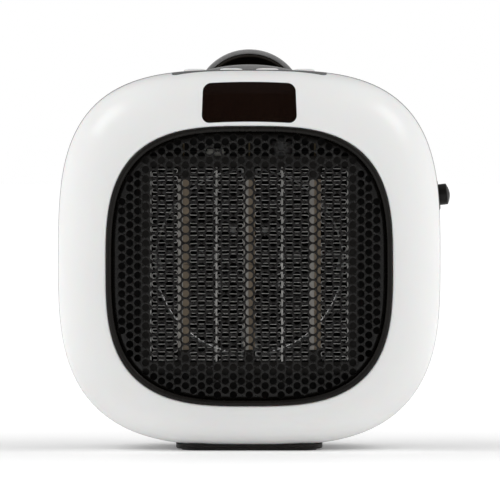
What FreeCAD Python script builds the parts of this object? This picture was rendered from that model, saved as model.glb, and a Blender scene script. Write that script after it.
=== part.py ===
import FreeCAD, Part
import Sketcher
import math
import os

# Ceramic (PTC) space heater with a perforated front, four top buttons, a side power switch and
# a finger grip.  Frame: +Z up, the front faces -Y, +X is to the right of someone looking at the
# front.  The origin is on the floor, in the middle of the base.  All sizes are millimetres.

Vector = FreeCAD.Vector
Rotation = FreeCAD.Rotation
Placement = FreeCAD.Placement

doc = FreeCAD.newDocument("SpaceHeater")

# ---------------------------------------------------------------- driving dimensions

DIMENSIONS = (
    # casing
    ("half_width", 104.5, "half the width of the casing"),
    ("half_height", 103.0, "half the height of the casing"),
    ("centre_z", 105.0, "height of the casing's centre"),
    ("roundness", 3.2, "superellipse exponent of the casing"),
    ("roundness_swing", 0.15, "how much squarer the top is than the bottom"),
    ("wall", 2.4, "wall of both shells"),
    ("widest_y", -38.0, "depth at which the bezel is widest"),
    ("dome_depth", 29.0, "from the widest outline forward to the opening"),
    ("parting_y", -31.0, "plane where bezel and rear housing meet"),
    ("rear_length", 105.0, "length of the rear housing's curve"),
    ("rear_y", 72.5, "rear face"),
    ("rear_exponent", 4.0, "how square the rear housing is in side view"),
    # front opening, trim and grille
    ("open_half_width", 77.95, "half the width of the front opening"),
    ("open_half_height", 76.45, "half the height of the front opening"),
    ("open_z", 100.9, "height of the opening's centre"),
    ("open_roundness", 3.08, "superellipse exponent of the opening"),
    ("trim_width", 3.0, "visible width of the black trim"),
    ("trim_proud", 0.7, "how far the trim stands in front of the bezel"),
    ("grille_y", -63.1, "front face of the perforated sheet"),
    ("grille_sheet", 0.8, "sheet thickness"),
    ("hole_radius", 2.0, "perforation radius"),
    ("hole_pitch", 5.0, "perforation pitch"),
    ("grille_border", 3.6, "plain border of the sheet"),
    # display
    ("window_half_width", 25.8, "half the width of the display window"),
    ("window_low", 178.4, "height of the window's lower corners"),
    ("window_high", 200.1, "height of the window's upper corners"),
    ("window_arch", 0.9, "rise of the window's edges in the middle"),
    ("window_corner", 4.4, "corner radius of the window"),
    ("lens_thickness", 2.0, "smoked lens"),
    ("display_tilt", 24.0, "lean of the display board"),
    # top panel and buttons
    ("panel_half_width", 42.0, "half the width of the control panel"),
    ("panel_front_y", -41.0, "front edge of the panel in the middle"),
    ("panel_corner_y", -47.0, "front edge of the panel at its ends"),
    ("panel_rear_y", 5.0, "rear edge of the panel"),
    ("panel_thickness", 2.2, "panel thickness"),
    ("button_pitch", 19.7, "distance from button to button"),
    ("button_length", 12.4, "button width across the heater"),
    ("button_depth", 8.0, "button width front to back"),
    ("button_y", -34.5, "depth of the row of buttons"),
    ("button_proud", 0.9, "how far a button stands above the panel"),
    ("button_travel", 0.6, "how far a button goes down"),
    ("board", 1.6, "circuit board thickness"),
    # finger grip
    ("grip_y", 17.0, "front edge of the grip hood"),
    ("grip_z", 190.0, "height of the hood's centre"),
    ("grip_half_width", 30.0, "half the width of the hood at its centre"),
    ("grip_length", 34.0, "length of the hood at its centre"),
    ("grip_rise", 29.0, "height of the hood above its centre"),
    ("grip_wall", 2.5, "hood thickness"),
    ("liner_wall", 1.6, "liner thickness"),
    ("tub_half_width", 21.0, "half the width of the finger tub"),
    ("tub_front_y", 8.0, "front of the finger tub"),
    ("tub_length", 28.0, "length of the finger tub behind the hood's front edge"),
    ("tub_floor_z", 187.0, "underside of the finger tub"),
    # base
    ("base_half_width", 40.0, "half the width of the base"),
    ("base_half_depth", 48.0, "half the depth of the base"),
    ("base_low", 0.7, "underside of the base"),
    ("foot_half_width", 37.0, "half the width of the rubber foot ring"),
    ("foot_half_depth", 45.0, "half the depth of the rubber foot ring"),
    ("foot_band", 6.0, "width of the rubber band"),
    ("foot_height", 1.5, "height of the rubber band"),
    # heating core
    ("core_z", 101.5, "height of the core's and the fan's centre"),
    ("core_front_y", -50.0, "front of the fins"),
    ("core_depth", 15.0, "depth of the fins"),
    ("core_half_height", 53.0, "half the height of the fins"),
    ("row_pitch", 35.8, "distance between the ceramic rows"),
    ("row_width", 6.3, "width of a ceramic row"),
    ("row_half_length", 46.5, "half the length of a ceramic row"),
    ("divider", 1.0, "thickness of a divider"),
    ("fin_sheet", 0.3, "fin sheet thickness"),
    ("fin_fold", 2.12, "distance from fold to fold"),
    ("frame_half_width", 59.5, "half the width of the core's frame"),
    ("frame_half_height", 59.0, "half the height of the core's frame"),
    # fan, duct and motor
    ("duct_radius", 52.0, "inside radius of the fan shroud"),
    ("duct_wall", 2.0, "shroud wall"),
    ("flange_y", -24.0, "front face of the duct's flange"),
    ("shroud_rear_y", 3.0, "rear end of the shroud"),
    ("fan_tip", 49.6, "radius of the blade tips"),
    ("hub_radius", 17.0, "fan hub radius"),
    ("hub_front_y", -20.0, "front of the fan hub"),
    ("hub_length", 19.0, "length of the fan hub"),
    ("blade_root_angle", 46.0, "blade angle at the hub"),
    ("blade_tip_angle", 66.0, "blade angle at the tip"),
    ("blade_count", 7, "number of blades"),
    ("shaft_radius", 1.6, "motor shaft radius"),
    ("motor_radius", 21.0, "motor case radius"),
    ("motor_front_y", 5.0, "front of the motor"),
    ("motor_length", 34.0, "length of the motor case"),
    # fasteners
    ("screw_x", 74.0, "casing screws, across"),
    ("screw_z", 72.0, "casing screws, above and below the centre"),
    ("screw_radius", 1.45, "thread radius of the small screws"),
    ("screw_head", 2.9, "head radius of the small screws"),
    # side power switch
    ("switch_y", -8.0, "depth of the power switch"),
    ("switch_z", 138.9, "height of the power switch"),
    ("switch_x", 103.2, "seat of the switch's ring"),
    ("switch_tilt", 6.5, "upward lean of the switch's axis"),
    ("cap_radius", 5.75, "cap radius"),
    ("cap_proud", 7.0, "cap length outside"),
    ("cap_travel", 2.5, "cap travel"),
    ("ring_radius", 8.2, "ring radius"),
    ("switch_barrel", 6.9, "threaded barrel radius"),
    # rear grille and cord inlet
    ("intake_radius", 52.0, "rear grille radius"),
    ("gland_x", 47.0, "cord inlet, across"),
    ("gland_z", 52.0, "cord inlet, height"),
    ("gland_bore", 3.6, "bore radius of the cord inlet"),
    ("gland_length", 10.2, "length of the cord inlet's bore"),
)

sheet = doc.addObject("Spreadsheet::Sheet", "Sizes")
for row, (alias, number, note) in enumerate(DIMENSIONS, start=1):
    sheet.set(f"A{row}", note)
    sheet.set(f"B{row}", str(number))
    sheet.setAlias(f"B{row}", alias)
doc.recompute()


class Dim:
    """A size that carries its number and the sheet formula that it comes from."""

    def __init__(self, number, formula):
        self.number = float(number)
        self.formula = formula

    def __float__(self):
        return self.number

    def join(self, sign, other, number):
        text = other.formula if isinstance(other, Dim) else repr(float(other))
        return Dim(number, f"({self.formula} {sign} {text})")

    def __add__(self, other):
        return self.join("+", other, self.number + float(other))

    def __sub__(self, other):
        return self.join("-", other, self.number - float(other))

    def __mul__(self, other):
        return self.join("*", other, self.number * float(other))

    def __truediv__(self, other):
        return self.join("/", other, self.number / float(other))

    def __neg__(self):
        return Dim(-self.number, f"(0 - {self.formula})")

    def __rsub__(self, other):
        return Dim(other - self.number, f"({float(other)!r} - {self.formula})")

    __radd__ = __add__
    __rmul__ = __mul__


class Sizes:
    """The sheet's dimensions by name."""


for alias, number, note in DIMENSIONS:
    setattr(Sizes, alias, Dim(sheet.get(alias), f"Sizes.{alias}"))

S = Sizes
nodes = []

ALONG = {
    "x": Rotation(Vector(0, 1, 0), 90),
    "y": Rotation(Vector(1, 0, 0), -90),
    "z": Rotation(),
}


# ---------------------------------------------------------------- document helpers

def bind(thing, prop, dim):
    """Set a property from a number, or bind it to the sheet when it is a Dim."""
    if isinstance(dim, Dim):
        thing.setExpression(prop, dim.formula)
    else:
        setattr(thing, prop, dim)


def locate(thing, at, rotation=Rotation()):
    """Place an object and bind each coordinate that comes from the sheet."""
    thing.Placement = Placement(Vector(*[float(value) for value in at]), rotation)
    for letter, value in zip("xyz", at):
        if isinstance(value, Dim):
            thing.setExpression(f"Placement.Base.{letter}", value.formula)


def node(thing, label):
    """Name an object as one of the heater's pieces."""
    thing.Label = label
    nodes.append(thing)
    return thing


def box(name, low, span):
    """Box from its lowest corner and its three sides."""
    solid = doc.addObject("Part::Box", name)
    for prop, dim in zip(("Length", "Width", "Height"), span):
        bind(solid, prop, dim)
    locate(solid, low)
    return solid


def tilted_box(name, centre, span, tilt):
    """Box centred on a point and leaning back by tilt degrees about X."""
    turn = Rotation(Vector(1, 0, 0), -float(tilt))
    corner = Vector(*[-float(side) / 2 for side in span])
    solid = doc.addObject("Part::Box", name)
    for prop, dim in zip(("Length", "Width", "Height"), span):
        bind(solid, prop, dim)
    middle = Vector(*[float(value) for value in centre])
    solid.Placement = Placement(middle + turn.multVec(corner), turn)
    return solid


def rod(name, start, radius, length, axis):
    """Cylinder from its start point along an axis."""
    solid = doc.addObject("Part::Cylinder", name)
    bind(solid, "Radius", radius)
    bind(solid, "Height", length)
    locate(solid, start, ALONG[axis])
    return solid


def fused(name, pieces):
    """Union of several objects."""
    union = doc.addObject("Part::MultiFuse", name)
    union.Shapes = pieces
    return union


def cut(name, base, tool):
    """One object with another one taken away."""
    result = doc.addObject("Part::Cut", name)
    result.Base = base
    result.Tool = tool
    return result


def common(name, first, second):
    """What two objects share."""
    result = doc.addObject("Part::Common", name)
    result.Base = first
    result.Tool = second
    return result


def grouped(label, pieces):
    """Separate identical solids as one piece of the list."""
    group = doc.addObject("Part::Compound", label)
    group.Links = pieces
    return node(group, label)


def computed(name, shape):
    """A shape that the features cannot describe, computed from the sheet's sizes."""
    thing = doc.addObject("Part::Feature", name)
    thing.Shape = shape
    thing.Placement = Placement()
    return thing


# ---------------------------------------------------------------- PartDesign helpers

def new_body(label):
    body = doc.addObject("PartDesign::Body", label)
    return node(body, label)


def datum(body, role):
    """An origin plane or axis of the body by its role."""
    for feature in body.Origin.OriginFeatures:
        if feature.Role == role:
            return feature
    raise ValueError(role)


def new_sketch(body, name, role="XY_Plane", offset=0.0, turn=0.0):
    """Sketch on an origin plane, moved along the plane's normal and turned in the plane."""
    sketch = body.newObject("Sketcher::SketchObject", name)
    sketch.AttachmentSupport = (datum(body, role), [""])
    sketch.MapMode = "FlatFace"
    sketch.AttachmentOffset = Placement(Vector(0, 0, float(offset)), Rotation(Vector(0, 0, 1), turn))
    if isinstance(offset, Dim):
        sketch.setExpression("AttachmentOffset.Base.z", offset.formula)
    return sketch


def dimension(sketch, *constraint):
    """Add a dimension to a sketch; a Dim value stays bound to the sheet."""
    value = constraint[-1]
    index = sketch.addConstraint(Sketcher.Constraint(*constraint[:-1], float(value)))
    if isinstance(value, Dim):
        sketch.setExpression(f"Constraints[{index}]", value.formula)


def draw_circle(sketch, radius, x=0.0, y=0.0):
    """Circle at a point of the sketch."""
    centre = Vector(float(x), float(y), 0)
    circle = sketch.addGeometry(Part.Circle(centre, Vector(0, 0, 1), float(radius)))
    dimension(sketch, "Radius", circle, radius)
    if float(x) == 0 and float(y) == 0:
        sketch.addConstraint(Sketcher.Constraint("Coincident", circle, 3, -1, 1))
    else:
        dimension(sketch, "DistanceX", -1, 1, circle, 3, x)
        dimension(sketch, "DistanceY", -1, 1, circle, 3, y)


def draw_profile(sketch, points):
    """Closed polygon with every corner dimensioned from the sketch's origin."""
    count = len(points)
    corners = [Vector(float(x), float(y), 0) for x, y in points]
    for index in range(count):
        sketch.addGeometry(Part.LineSegment(corners[index], corners[(index + 1) % count]))
    for index in range(count):
        following = (index + 1) % count
        sketch.addConstraint(Sketcher.Constraint("Coincident", index, 2, following, 1))
    for index, (x, y) in enumerate(points):
        if float(x) == 0:
            sketch.addConstraint(Sketcher.Constraint("PointOnObject", index, 1, -2))
        else:
            dimension(sketch, "DistanceX", -1, 1, index, 1, x)
        if float(y) == 0:
            sketch.addConstraint(Sketcher.Constraint("PointOnObject", index, 1, -1))
        else:
            dimension(sketch, "DistanceY", -1, 1, index, 1, y)


def draw_rectangle(sketch, half_width, half_height, x=0.0, y=0.0):
    """Rectangle centred on a point of the sketch."""
    left, right = x - half_width, x + half_width
    low, high = y - half_height, y + half_height
    first = sketch.GeometryCount
    corners = [Vector(float(px), float(py), 0) for px, py in
               ((left, low), (right, low), (right, high), (left, high))]
    for index in range(4):
        sketch.addGeometry(Part.LineSegment(corners[index], corners[(index + 1) % 4]))
    for index in range(4):
        following = first + (index + 1) % 4
        sketch.addConstraint(Sketcher.Constraint("Coincident", first + index, 2, following, 1))
    for side, kind in ((0, "Horizontal"), (1, "Vertical"), (2, "Horizontal"), (3, "Vertical")):
        sketch.addConstraint(Sketcher.Constraint(kind, first + side))
    for corner, px, py in ((0, left, low), (2, right, high)):
        dimension(sketch, "DistanceX", -1, 1, first + corner, 1, px)
        dimension(sketch, "DistanceY", -1, 1, first + corner, 1, py)


def draw_rounded(sketch, half_width, half_height, radius):
    """Rounded rectangle centred on the sketch's origin."""
    wide, tall, turn = float(half_width), float(half_height), float(radius)
    first = sketch.GeometryCount
    inner = ((wide - turn, turn - tall), (wide - turn, tall - turn),
             (turn - wide, tall - turn), (turn - wide, turn - tall))
    quarter = math.pi / 2
    up = Vector(0, 0, 1)
    for index, (cx, cy) in enumerate(inner):
        circle = Part.Circle(Vector(cx, cy, 0), up, turn)
        start = (index - 1) * quarter
        sketch.addGeometry(Part.ArcOfCircle(circle, start, start + quarter))
    for index, (cx, cy) in enumerate(inner):
        angle = index * quarter
        edge = Vector(math.cos(angle), math.sin(angle), 0) * turn
        nx, ny = inner[(index + 1) % 4]
        sketch.addGeometry(Part.LineSegment(Vector(cx, cy, 0) + edge, Vector(nx, ny, 0) + edge))
    for index in range(4):
        line = first + 4 + index
        following = first + (index + 1) % 4
        sketch.addConstraint(Sketcher.Constraint("Tangent", first + index, 2, line, 1))
        sketch.addConstraint(Sketcher.Constraint("Tangent", line, 2, following, 1))
    for index in range(1, 4):
        sketch.addConstraint(Sketcher.Constraint("Equal", first, first + index))
    sketch.addConstraint(Sketcher.Constraint("Horizontal", first + 5))
    sketch.addConstraint(Sketcher.Constraint("Vertical", first + 4))
    sketch.addConstraint(Sketcher.Constraint("Symmetric", first, 3, first + 2, 3, -1, 1))
    dimension(sketch, "Radius", first, radius)
    dimension(sketch, "DistanceX", -1, 1, first, 3, half_width - radius)
    dimension(sketch, "DistanceY", -1, 1, first + 1, 3, half_height - radius)


def pad(body, sketch, length, reverse=False):
    """Pad along the sketch's normal, or against it."""
    feature = body.newObject("PartDesign::Pad", f"{sketch.Name}_pad")
    feature.Profile = sketch
    feature.Reversed = reverse
    bind(feature, "Length", length)
    return feature


def pocket(body, sketch, length, reverse=False):
    """Pocket against the sketch's normal, or along it; it has to take material away."""
    doc.recompute()
    before = body.Shape.Volume
    feature = body.newObject("PartDesign::Pocket", f"{sketch.Name}_pocket")
    feature.Profile = sketch
    feature.Reversed = reverse
    bind(feature, "Length", length)
    doc.recompute()
    if body.Shape.Volume >= before:
        raise ValueError(f"{feature.Name} cuts nothing")
    return feature


def turned(label, points, at=(0.0, 0.0, 0.0), rotation=Rotation()):
    """Body of revolution: the profile is radius and height, turned about the local Z axis."""
    body = new_body(label)
    sketch = new_sketch(body, f"{label}_profile", "XZ_Plane")
    draw_profile(sketch, points)
    feature = body.newObject("PartDesign::Revolution", f"{label}_turn")
    feature.Profile = sketch
    feature.ReferenceAxis = (sketch, ["V_Axis"])
    feature.Angle = 360.0
    locate(body, at, rotation)
    return body


def screws(label, places, axis, head_radius, head_height, radius, length):
    """Pan-head screws as one group; each place is where the head's inner face bears."""
    pieces = []
    sign = -1.0 if axis.startswith("-") else 1.0
    letter = axis[-1]
    index = "xyz".index(letter)
    for number, place in enumerate(places, start=1):
        head_start = list(place)
        shank_start = list(place)
        if sign > 0:
            head_start[index] = place[index] - head_height
        else:
            shank_start[index] = place[index] - length
        head = rod(f"{label}_head_{number}", head_start, head_radius, head_height, letter)
        shank = rod(f"{label}_shank_{number}", shank_start, radius, length, letter)
        pieces.append(fused(f"{label}_{number}", [head, shank]))
    return grouped(label, pieces)


# ---------------------------------------------------------------- casing surfaces

OUTLINE_POINTS = 48
QUARTER_STEPS = (0, 12, 25, 38, 50, 62, 74, 83, 90)
REAR_STEPS = (0.0, 0.2, 0.38, 0.52, 0.64, 0.74, 0.82, 0.89, 0.95, 0.9857)


def superellipse(angle, half_width, half_height, exponent):
    """Point of a superellipse in the direction of an angle."""
    across = abs(math.cos(angle)) / half_width
    upward = abs(math.sin(angle)) / half_height
    reach = (across ** exponent + upward ** exponent) ** (-1.0 / exponent)
    return reach * math.cos(angle), reach * math.sin(angle)


def casing_point(angle, inset=0.0, scale=1.0):
    """Point of the casing's widest outline, relative to the floor."""
    exponent = float(S.roundness) + float(S.roundness_swing) * math.sin(angle)
    x, z = superellipse(angle, float(S.half_width) - inset, float(S.half_height) - inset, exponent)
    return x * scale, z * scale + float(S.centre_z)


def opening_point(angle, grow=0.0):
    """Point of the front opening's outline."""
    wide = float(S.open_half_width) + grow
    tall = float(S.open_half_height) + grow
    x, z = superellipse(angle, wide, tall, float(S.open_roundness))
    return x, z + float(S.open_z)


def closed_curve(outline, y):
    """Smooth closed wire at one depth through the points that outline gives by angle."""
    points = []
    for index in range(OUTLINE_POINTS):
        x, z = outline(2 * math.pi * index / OUTLINE_POINTS)
        points.append(Vector(x, y, z))
    curve = Part.BSplineCurve()
    curve.interpolate(points, PeriodicFlag=True)
    return Part.Wire([curve.toShape()])


def bezel_form(inset=0.0):
    """Solid under the bezel's domed surface, or under a surface inset from it."""
    def section(degrees):
        mix = math.cos(math.radians(degrees))

        def outline(angle):
            inner_x, inner_z = opening_point(angle)
            outer_x, outer_z = casing_point(angle, inset)
            return inner_x + (outer_x - inner_x) * mix, inner_z + (outer_z - inner_z) * mix

        reach = (float(S.dome_depth) - inset) * math.sin(math.radians(degrees))
        return closed_curve(outline, float(S.widest_y) - reach)

    overrun = 1.0 if inset else 0.0
    back = closed_curve(lambda angle: casing_point(angle, inset), float(S.parting_y) + overrun)
    return Part.makeLoft([back] + [section(step) for step in QUARTER_STEPS], True, False)


def rear_form(inset=0.0):
    """Solid under the rear housing's surface, or under a surface inset from it."""
    def section(step):
        scale = (1.0 - step ** float(S.rear_exponent)) ** (1.0 / float(S.rear_exponent))
        y = float(S.parting_y) + (float(S.rear_length) - inset) * step
        return closed_curve(lambda angle: casing_point(angle, inset, scale), y)

    sections = [section(step) for step in REAR_STEPS]
    if inset > 0:
        opened = closed_curve(lambda angle: casing_point(angle, inset), float(S.parting_y) - 1.0)
        sections.insert(0, opened)
    return Part.makeLoft(sections, True, False)


def opening_prism(grow, front_y, rear_y):
    """Straight prism with the opening's outline, grown or shrunk."""
    wire = closed_curve(lambda angle: opening_point(angle, grow), front_y)
    return Part.Face(wire).extrude(Vector(0, rear_y - front_y, 0))


def window_prism(grow, front_y=-80.0, rear_y=-45.0):
    """Prism of the display window, whose long edges are arched and whose corners are round."""
    half = float(S.window_half_width) + grow
    low = float(S.window_low) - grow
    high = float(S.window_high) + grow
    arch = float(S.window_arch)
    lean = 0.5
    bottom = Part.Arc(Vector(-half, front_y, low), Vector(0, front_y, low + arch),
                      Vector(half, front_y, low)).toShape()
    top = Part.Arc(Vector(lean - half, front_y, high), Vector(0, front_y, high + arch),
                   Vector(half - lean, front_y, high)).toShape()
    right = Part.LineSegment(Vector(half, front_y, low), Vector(half - lean, front_y, high)).toShape()
    left = Part.LineSegment(Vector(lean - half, front_y, high), Vector(-half, front_y, low)).toShape()
    wire = Part.Wire(Part.__sortEdges__([bottom, right, top, left]))
    solid = Part.Face(wire).extrude(Vector(0, rear_y - front_y, 0))
    corners = [edge for edge in solid.Edges if is_along(edge, Vector(0, 1, 0))]
    return solid.makeFillet(float(S.window_corner) + grow, corners)


def panel_prism(grow, low_z=190.0, high_z=215.0):
    """Upright prism of the control panel, whose front edge is hollow and whose corners are round."""
    half = float(S.panel_half_width) + grow
    middle = float(S.panel_front_y) - grow
    corner = float(S.panel_corner_y) - grow
    rear = float(S.panel_rear_y) + grow
    front = Part.Arc(Vector(-half, corner, low_z), Vector(0, middle, low_z),
                     Vector(half, corner, low_z)).toShape()
    right = Part.LineSegment(Vector(half, corner, low_z), Vector(half, rear, low_z)).toShape()
    back = Part.LineSegment(Vector(half, rear, low_z), Vector(-half, rear, low_z)).toShape()
    left = Part.LineSegment(Vector(-half, rear, low_z), Vector(-half, corner, low_z)).toShape()
    wire = Part.Wire(Part.__sortEdges__([front, right, back, left]))
    solid = Part.Face(wire).extrude(Vector(0, 0, high_z - low_z))
    corners = [edge for edge in solid.Edges if is_along(edge, Vector(0, 0, 1))]
    return solid.makeFillet(3.0 + grow, corners)


def is_along(edge, direction):
    """Whether an edge is a straight line along a direction."""
    if not isinstance(edge.Curve, (Part.Line, Part.LineSegment)):
        return False
    start, end = edge.Vertexes[0].Point, edge.Vertexes[-1].Point
    return (end - start).normalize().cross(direction).Length < 1e-6


def tub_prism(grow, low_z, high_z):
    """Upright prism of the finger tub: square in front, half an ellipse behind."""
    half = float(S.tub_half_width) + grow
    front = float(S.tub_front_y) - grow
    middle = float(S.grip_y)
    centre = Vector(0, middle, low_z)
    rear = Vector(0, middle + float(S.tub_length) + grow, low_z)
    ellipse = Part.Ellipse(rear, Vector(-half, middle, low_z), centre)
    bow = Part.ArcOfEllipse(ellipse, -math.pi / 2, math.pi / 2).toShape()
    left, right = Vector(-half, front, low_z), Vector(half, front, low_z)
    sides = [Part.LineSegment(Vector(-half, middle, low_z), left).toShape(),
             Part.LineSegment(left, right).toShape(),
             Part.LineSegment(right, Vector(half, middle, low_z)).toShape()]
    wire = Part.Wire(Part.__sortEdges__([bow] + sides))
    solid = Part.Face(wire).extrude(Vector(0, 0, high_z - low_z))
    corners = [edge for edge in solid.Edges
               if is_along(edge, Vector(0, 0, 1)) and edge.BoundBox.YMax < front + 0.01]
    return solid.makeFillet(5.0 + grow, corners)


def cylinder(start, axis, radius, length):
    return Part.makeCylinder(radius, length, start, axis)


def ellipsoid(shrink=0.0):
    """The grip hood's rounded form, cut off flat at its front edge."""
    ball = Part.makeSphere(1.0)
    stretch = FreeCAD.Matrix()
    stretch.scale(float(S.grip_half_width) - shrink, float(S.grip_length) - shrink,
                  float(S.grip_rise) - shrink)
    form = ball.transformGeometry(stretch)
    form.translate(Vector(0, float(S.grip_y), float(S.grip_z)))
    keep = Part.makeBox(80, 60, 40, Vector(-40, float(S.grip_y), float(S.grip_z) - 10))
    return form.common(keep)


# ---------------------------------------------------------------- casing

def screw_places(y):
    """The four long casing screws at one depth."""
    middle = float(S.centre_z)
    across, upward = float(S.screw_x), float(S.screw_z)
    return [Vector(sx * across, y, middle + sz * upward) for sx in (-1, 1) for sz in (-1, 1)]


BACK = Vector(0, 1, 0)
UP = Vector(0, 0, 1)
RIGHT = Vector(1, 0, 0)
SCREW_HOLE = float(S.screw_radius) + 0.05
LOOSE_HOLE = float(S.screw_radius) + 0.15
PANEL_GAP = 0.15
BOSS_RADIUS = 4.0
WELL_RADIUS = 5.5
WELL_BORE = 3.7
WELL_SEAT = 2.5
BASE_SCREWS = ((-22.0, 36.0), (22.0, 36.0))
BASE_BOSS_TOP = 16.0
GRILLE_LIP = 3.0
BOARD_X = -86.0
BOARD_Y = (-14.0, 44.0)
BOARD_Z = (68.0, 142.0)
BOARD_SCREW_INSET = 4.0
TILT_SEAT_Z = 14.5
SWITCH_AXIS = Rotation(Vector(0, 1, 0), 90 - float(S.switch_tilt))
SWITCH_SEAT = Vector(float(S.switch_x), float(S.switch_y), float(S.switch_z))

bezel_outer = bezel_form()
bezel_inner = bezel_form(float(S.wall))
rear_outer = rear_form()
rear_inner = rear_form(float(S.wall))


def board_posts():
    """Where the main board's four screws go, across the heater's depth and height."""
    low_y, high_y = BOARD_Y[0] + BOARD_SCREW_INSET, BOARD_Y[1] - BOARD_SCREW_INSET
    low_z, high_z = BOARD_Z[0] + BOARD_SCREW_INSET, BOARD_Z[1] - BOARD_SCREW_INSET
    return [(y, z) for y in (low_y, high_y) for z in (low_z, high_z)]


def front_bezel():
    """White domed ring with the display window, the panel notch and four screw bosses."""
    shell = bezel_outer.cut(bezel_inner).cut(opening_prism(0.0, -80.0, -50.0))
    shell = shell.cut(window_prism(0.0)).cut(panel_prism(PANEL_GAP))
    flange = float(S.flange_y)
    root = -62.0
    middle = -40.0
    for place in screw_places(root):
        buried = cylinder(place, BACK, BOSS_RADIUS, middle - root).common(bezel_outer)
        place.y = middle
        shell = shell.fuse(buried).fuse(cylinder(place, BACK, BOSS_RADIUS, flange - middle))
    for place in screw_places(flange - 20.0):
        shell = shell.cut(cylinder(place, BACK, SCREW_HOLE, 30.0))
    return node(computed("front_bezel", shell), "front_bezel")


def switch_tool(radius, low, length):
    """Cylinder on the power switch's axis, starting at a height above its seat."""
    axis = SWITCH_AXIS.multVec(UP)
    return cylinder(SWITCH_SEAT + axis * low, axis, radius, length)


def rear_housing():
    """Grey rear shell with screw wells, board posts, the tub's hole and the rear grille's seat."""
    shell = rear_outer.cut(rear_inner)
    rear = float(S.rear_y)
    core = Vector(0, 0, float(S.core_z))
    intake = float(S.intake_radius)
    lip_low = core + BACK * (rear - 6.0)
    lip = cylinder(lip_low, BACK, intake + 4.0, 4.0)
    boss = cylinder(Vector(float(S.gland_x), rear - 8.0, float(S.gland_z)), BACK, 9.5, 8.0)
    solids = [lip, boss]
    flange = float(S.flange_y) + 2.0
    for place in screw_places(flange):
        solids.append(cylinder(place, BACK, WELL_RADIUS, 90.0).common(rear_outer))
    for x, y in BASE_SCREWS:
        solids.append(cylinder(Vector(x, y, 0), UP, BOSS_RADIUS, BASE_BOSS_TOP).common(rear_outer))
    for y, z in board_posts():
        post = cylinder(Vector(-110.0, y, z), RIGHT, 3.0, 110.0 + BOARD_X)
        solids.append(post.common(rear_outer))
    seat = Part.makeBox(24.0, 18.0, TILT_SEAT_Z, Vector(36.0, 6.0, 0.0))
    solids.append(seat.common(rear_outer))
    shell = shell.fuse(solids)

    shell = shell.cut(panel_prism(PANEL_GAP))
    tools = [tub_prism(0.3, 180.0, 240.0)]
    tools.append(cylinder(core + BACK * (rear - 3.1), BACK, intake + 0.2, 20.0))
    tools.append(cylinder(core + BACK * (rear - 12.0), BACK, intake - GRILLE_LIP, 20.0))
    tools.append(cylinder(Vector(float(S.gland_x), rear - 20.0, float(S.gland_z)), BACK, 6.1, 40.0))
    tools.append(switch_tool(float(S.switch_barrel) + 0.1, -15.0, 30.0))
    tools.append(switch_tool(float(S.ring_radius) + 0.2, 0.0, 20.0))
    for place in screw_places(flange + WELL_SEAT):
        tools.append(cylinder(place, BACK, WELL_BORE, 120.0))
    for place in screw_places(flange - 1.0):
        tools.append(cylinder(place, BACK, LOOSE_HOLE, 10.0))
    for x, y in BASE_SCREWS:
        tools.append(cylinder(Vector(x, y, 0), UP, SCREW_HOLE, BASE_BOSS_TOP - 1.0))
    for y, z in board_posts():
        tools.append(cylinder(Vector(BOARD_X - 8.0, y, z), RIGHT, SCREW_HOLE, 20.0))
    for tool in tools:
        shell = shell.cut(tool)
    return node(computed("rear_housing", shell), "rear_housing")


def trim_ring():
    """Black trim of the opening: a bead, a rebate for the sheet and a flange notched for the display."""
    front = float(S.widest_y) - float(S.dome_depth) - float(S.trim_proud)
    seat = float(S.grille_y)
    back = -60.0
    bead = opening_prism(-0.15, front, -62.0).cut(opening_prism(-float(S.trim_width), front - 1, back))
    rim = [edge for edge in bead.Edges if edge.BoundBox.YMax < front + 0.1 and edge.isClosed()]
    bead = bead.makeFillet(1.3, rim)
    flange = opening_prism(6.0, -62.0, back).cut(window_prism(1.0, -62.0, back))
    ring = bead.fuse(flange).cut(opening_prism(-1.5, seat - 0.02, back + 1))
    return node(computed("trim_ring", ring.removeSplitter()), "trim_ring")


def front_grille():
    """Black steel sheet with round holes in staggered upright columns."""
    y = float(S.grille_y)
    pitch = float(S.hole_pitch)
    column = pitch * math.sqrt(3) / 2
    border = 1.6 + float(S.grille_border)
    wires = [closed_curve(lambda angle: opening_point(angle, -1.6), y)]
    reach = int(float(S.open_half_width) / column) + 1
    for i in range(-reach, reach + 1):
        for j in range(-reach, reach + 1):
            x = i * column
            z = float(S.open_z) + (j + 0.5 * (i % 2)) * pitch
            angle = math.atan2(z - float(S.open_z), x)
            edge_x, edge_z = opening_point(angle, -border)
            limit = math.hypot(edge_x, edge_z - float(S.open_z))
            if math.hypot(x, z - float(S.open_z)) <= limit:
                circle = Part.makeCircle(float(S.hole_radius), Vector(x, y, z), BACK)
                wires.append(Part.Wire([circle]))
    face = Part.makeFace(Part.Compound(wires), "Part::FaceMakerBullseye")
    return node(computed("front_grille", face.extrude(BACK * float(S.grille_sheet))), "front_grille")


# ---------------------------------------------------------------- display

def surface_y(z, inset=0.0):
    """Depth of the bezel's surface above the opening, in the middle plane."""
    inner_z = opening_point(math.pi / 2)[1]
    outer_z = casing_point(math.pi / 2, inset)[1]
    mix = (z - inner_z) / (outer_z - inner_z)
    return float(S.widest_y) - (float(S.dome_depth) - inset) * math.sqrt(1 - mix * mix)


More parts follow.
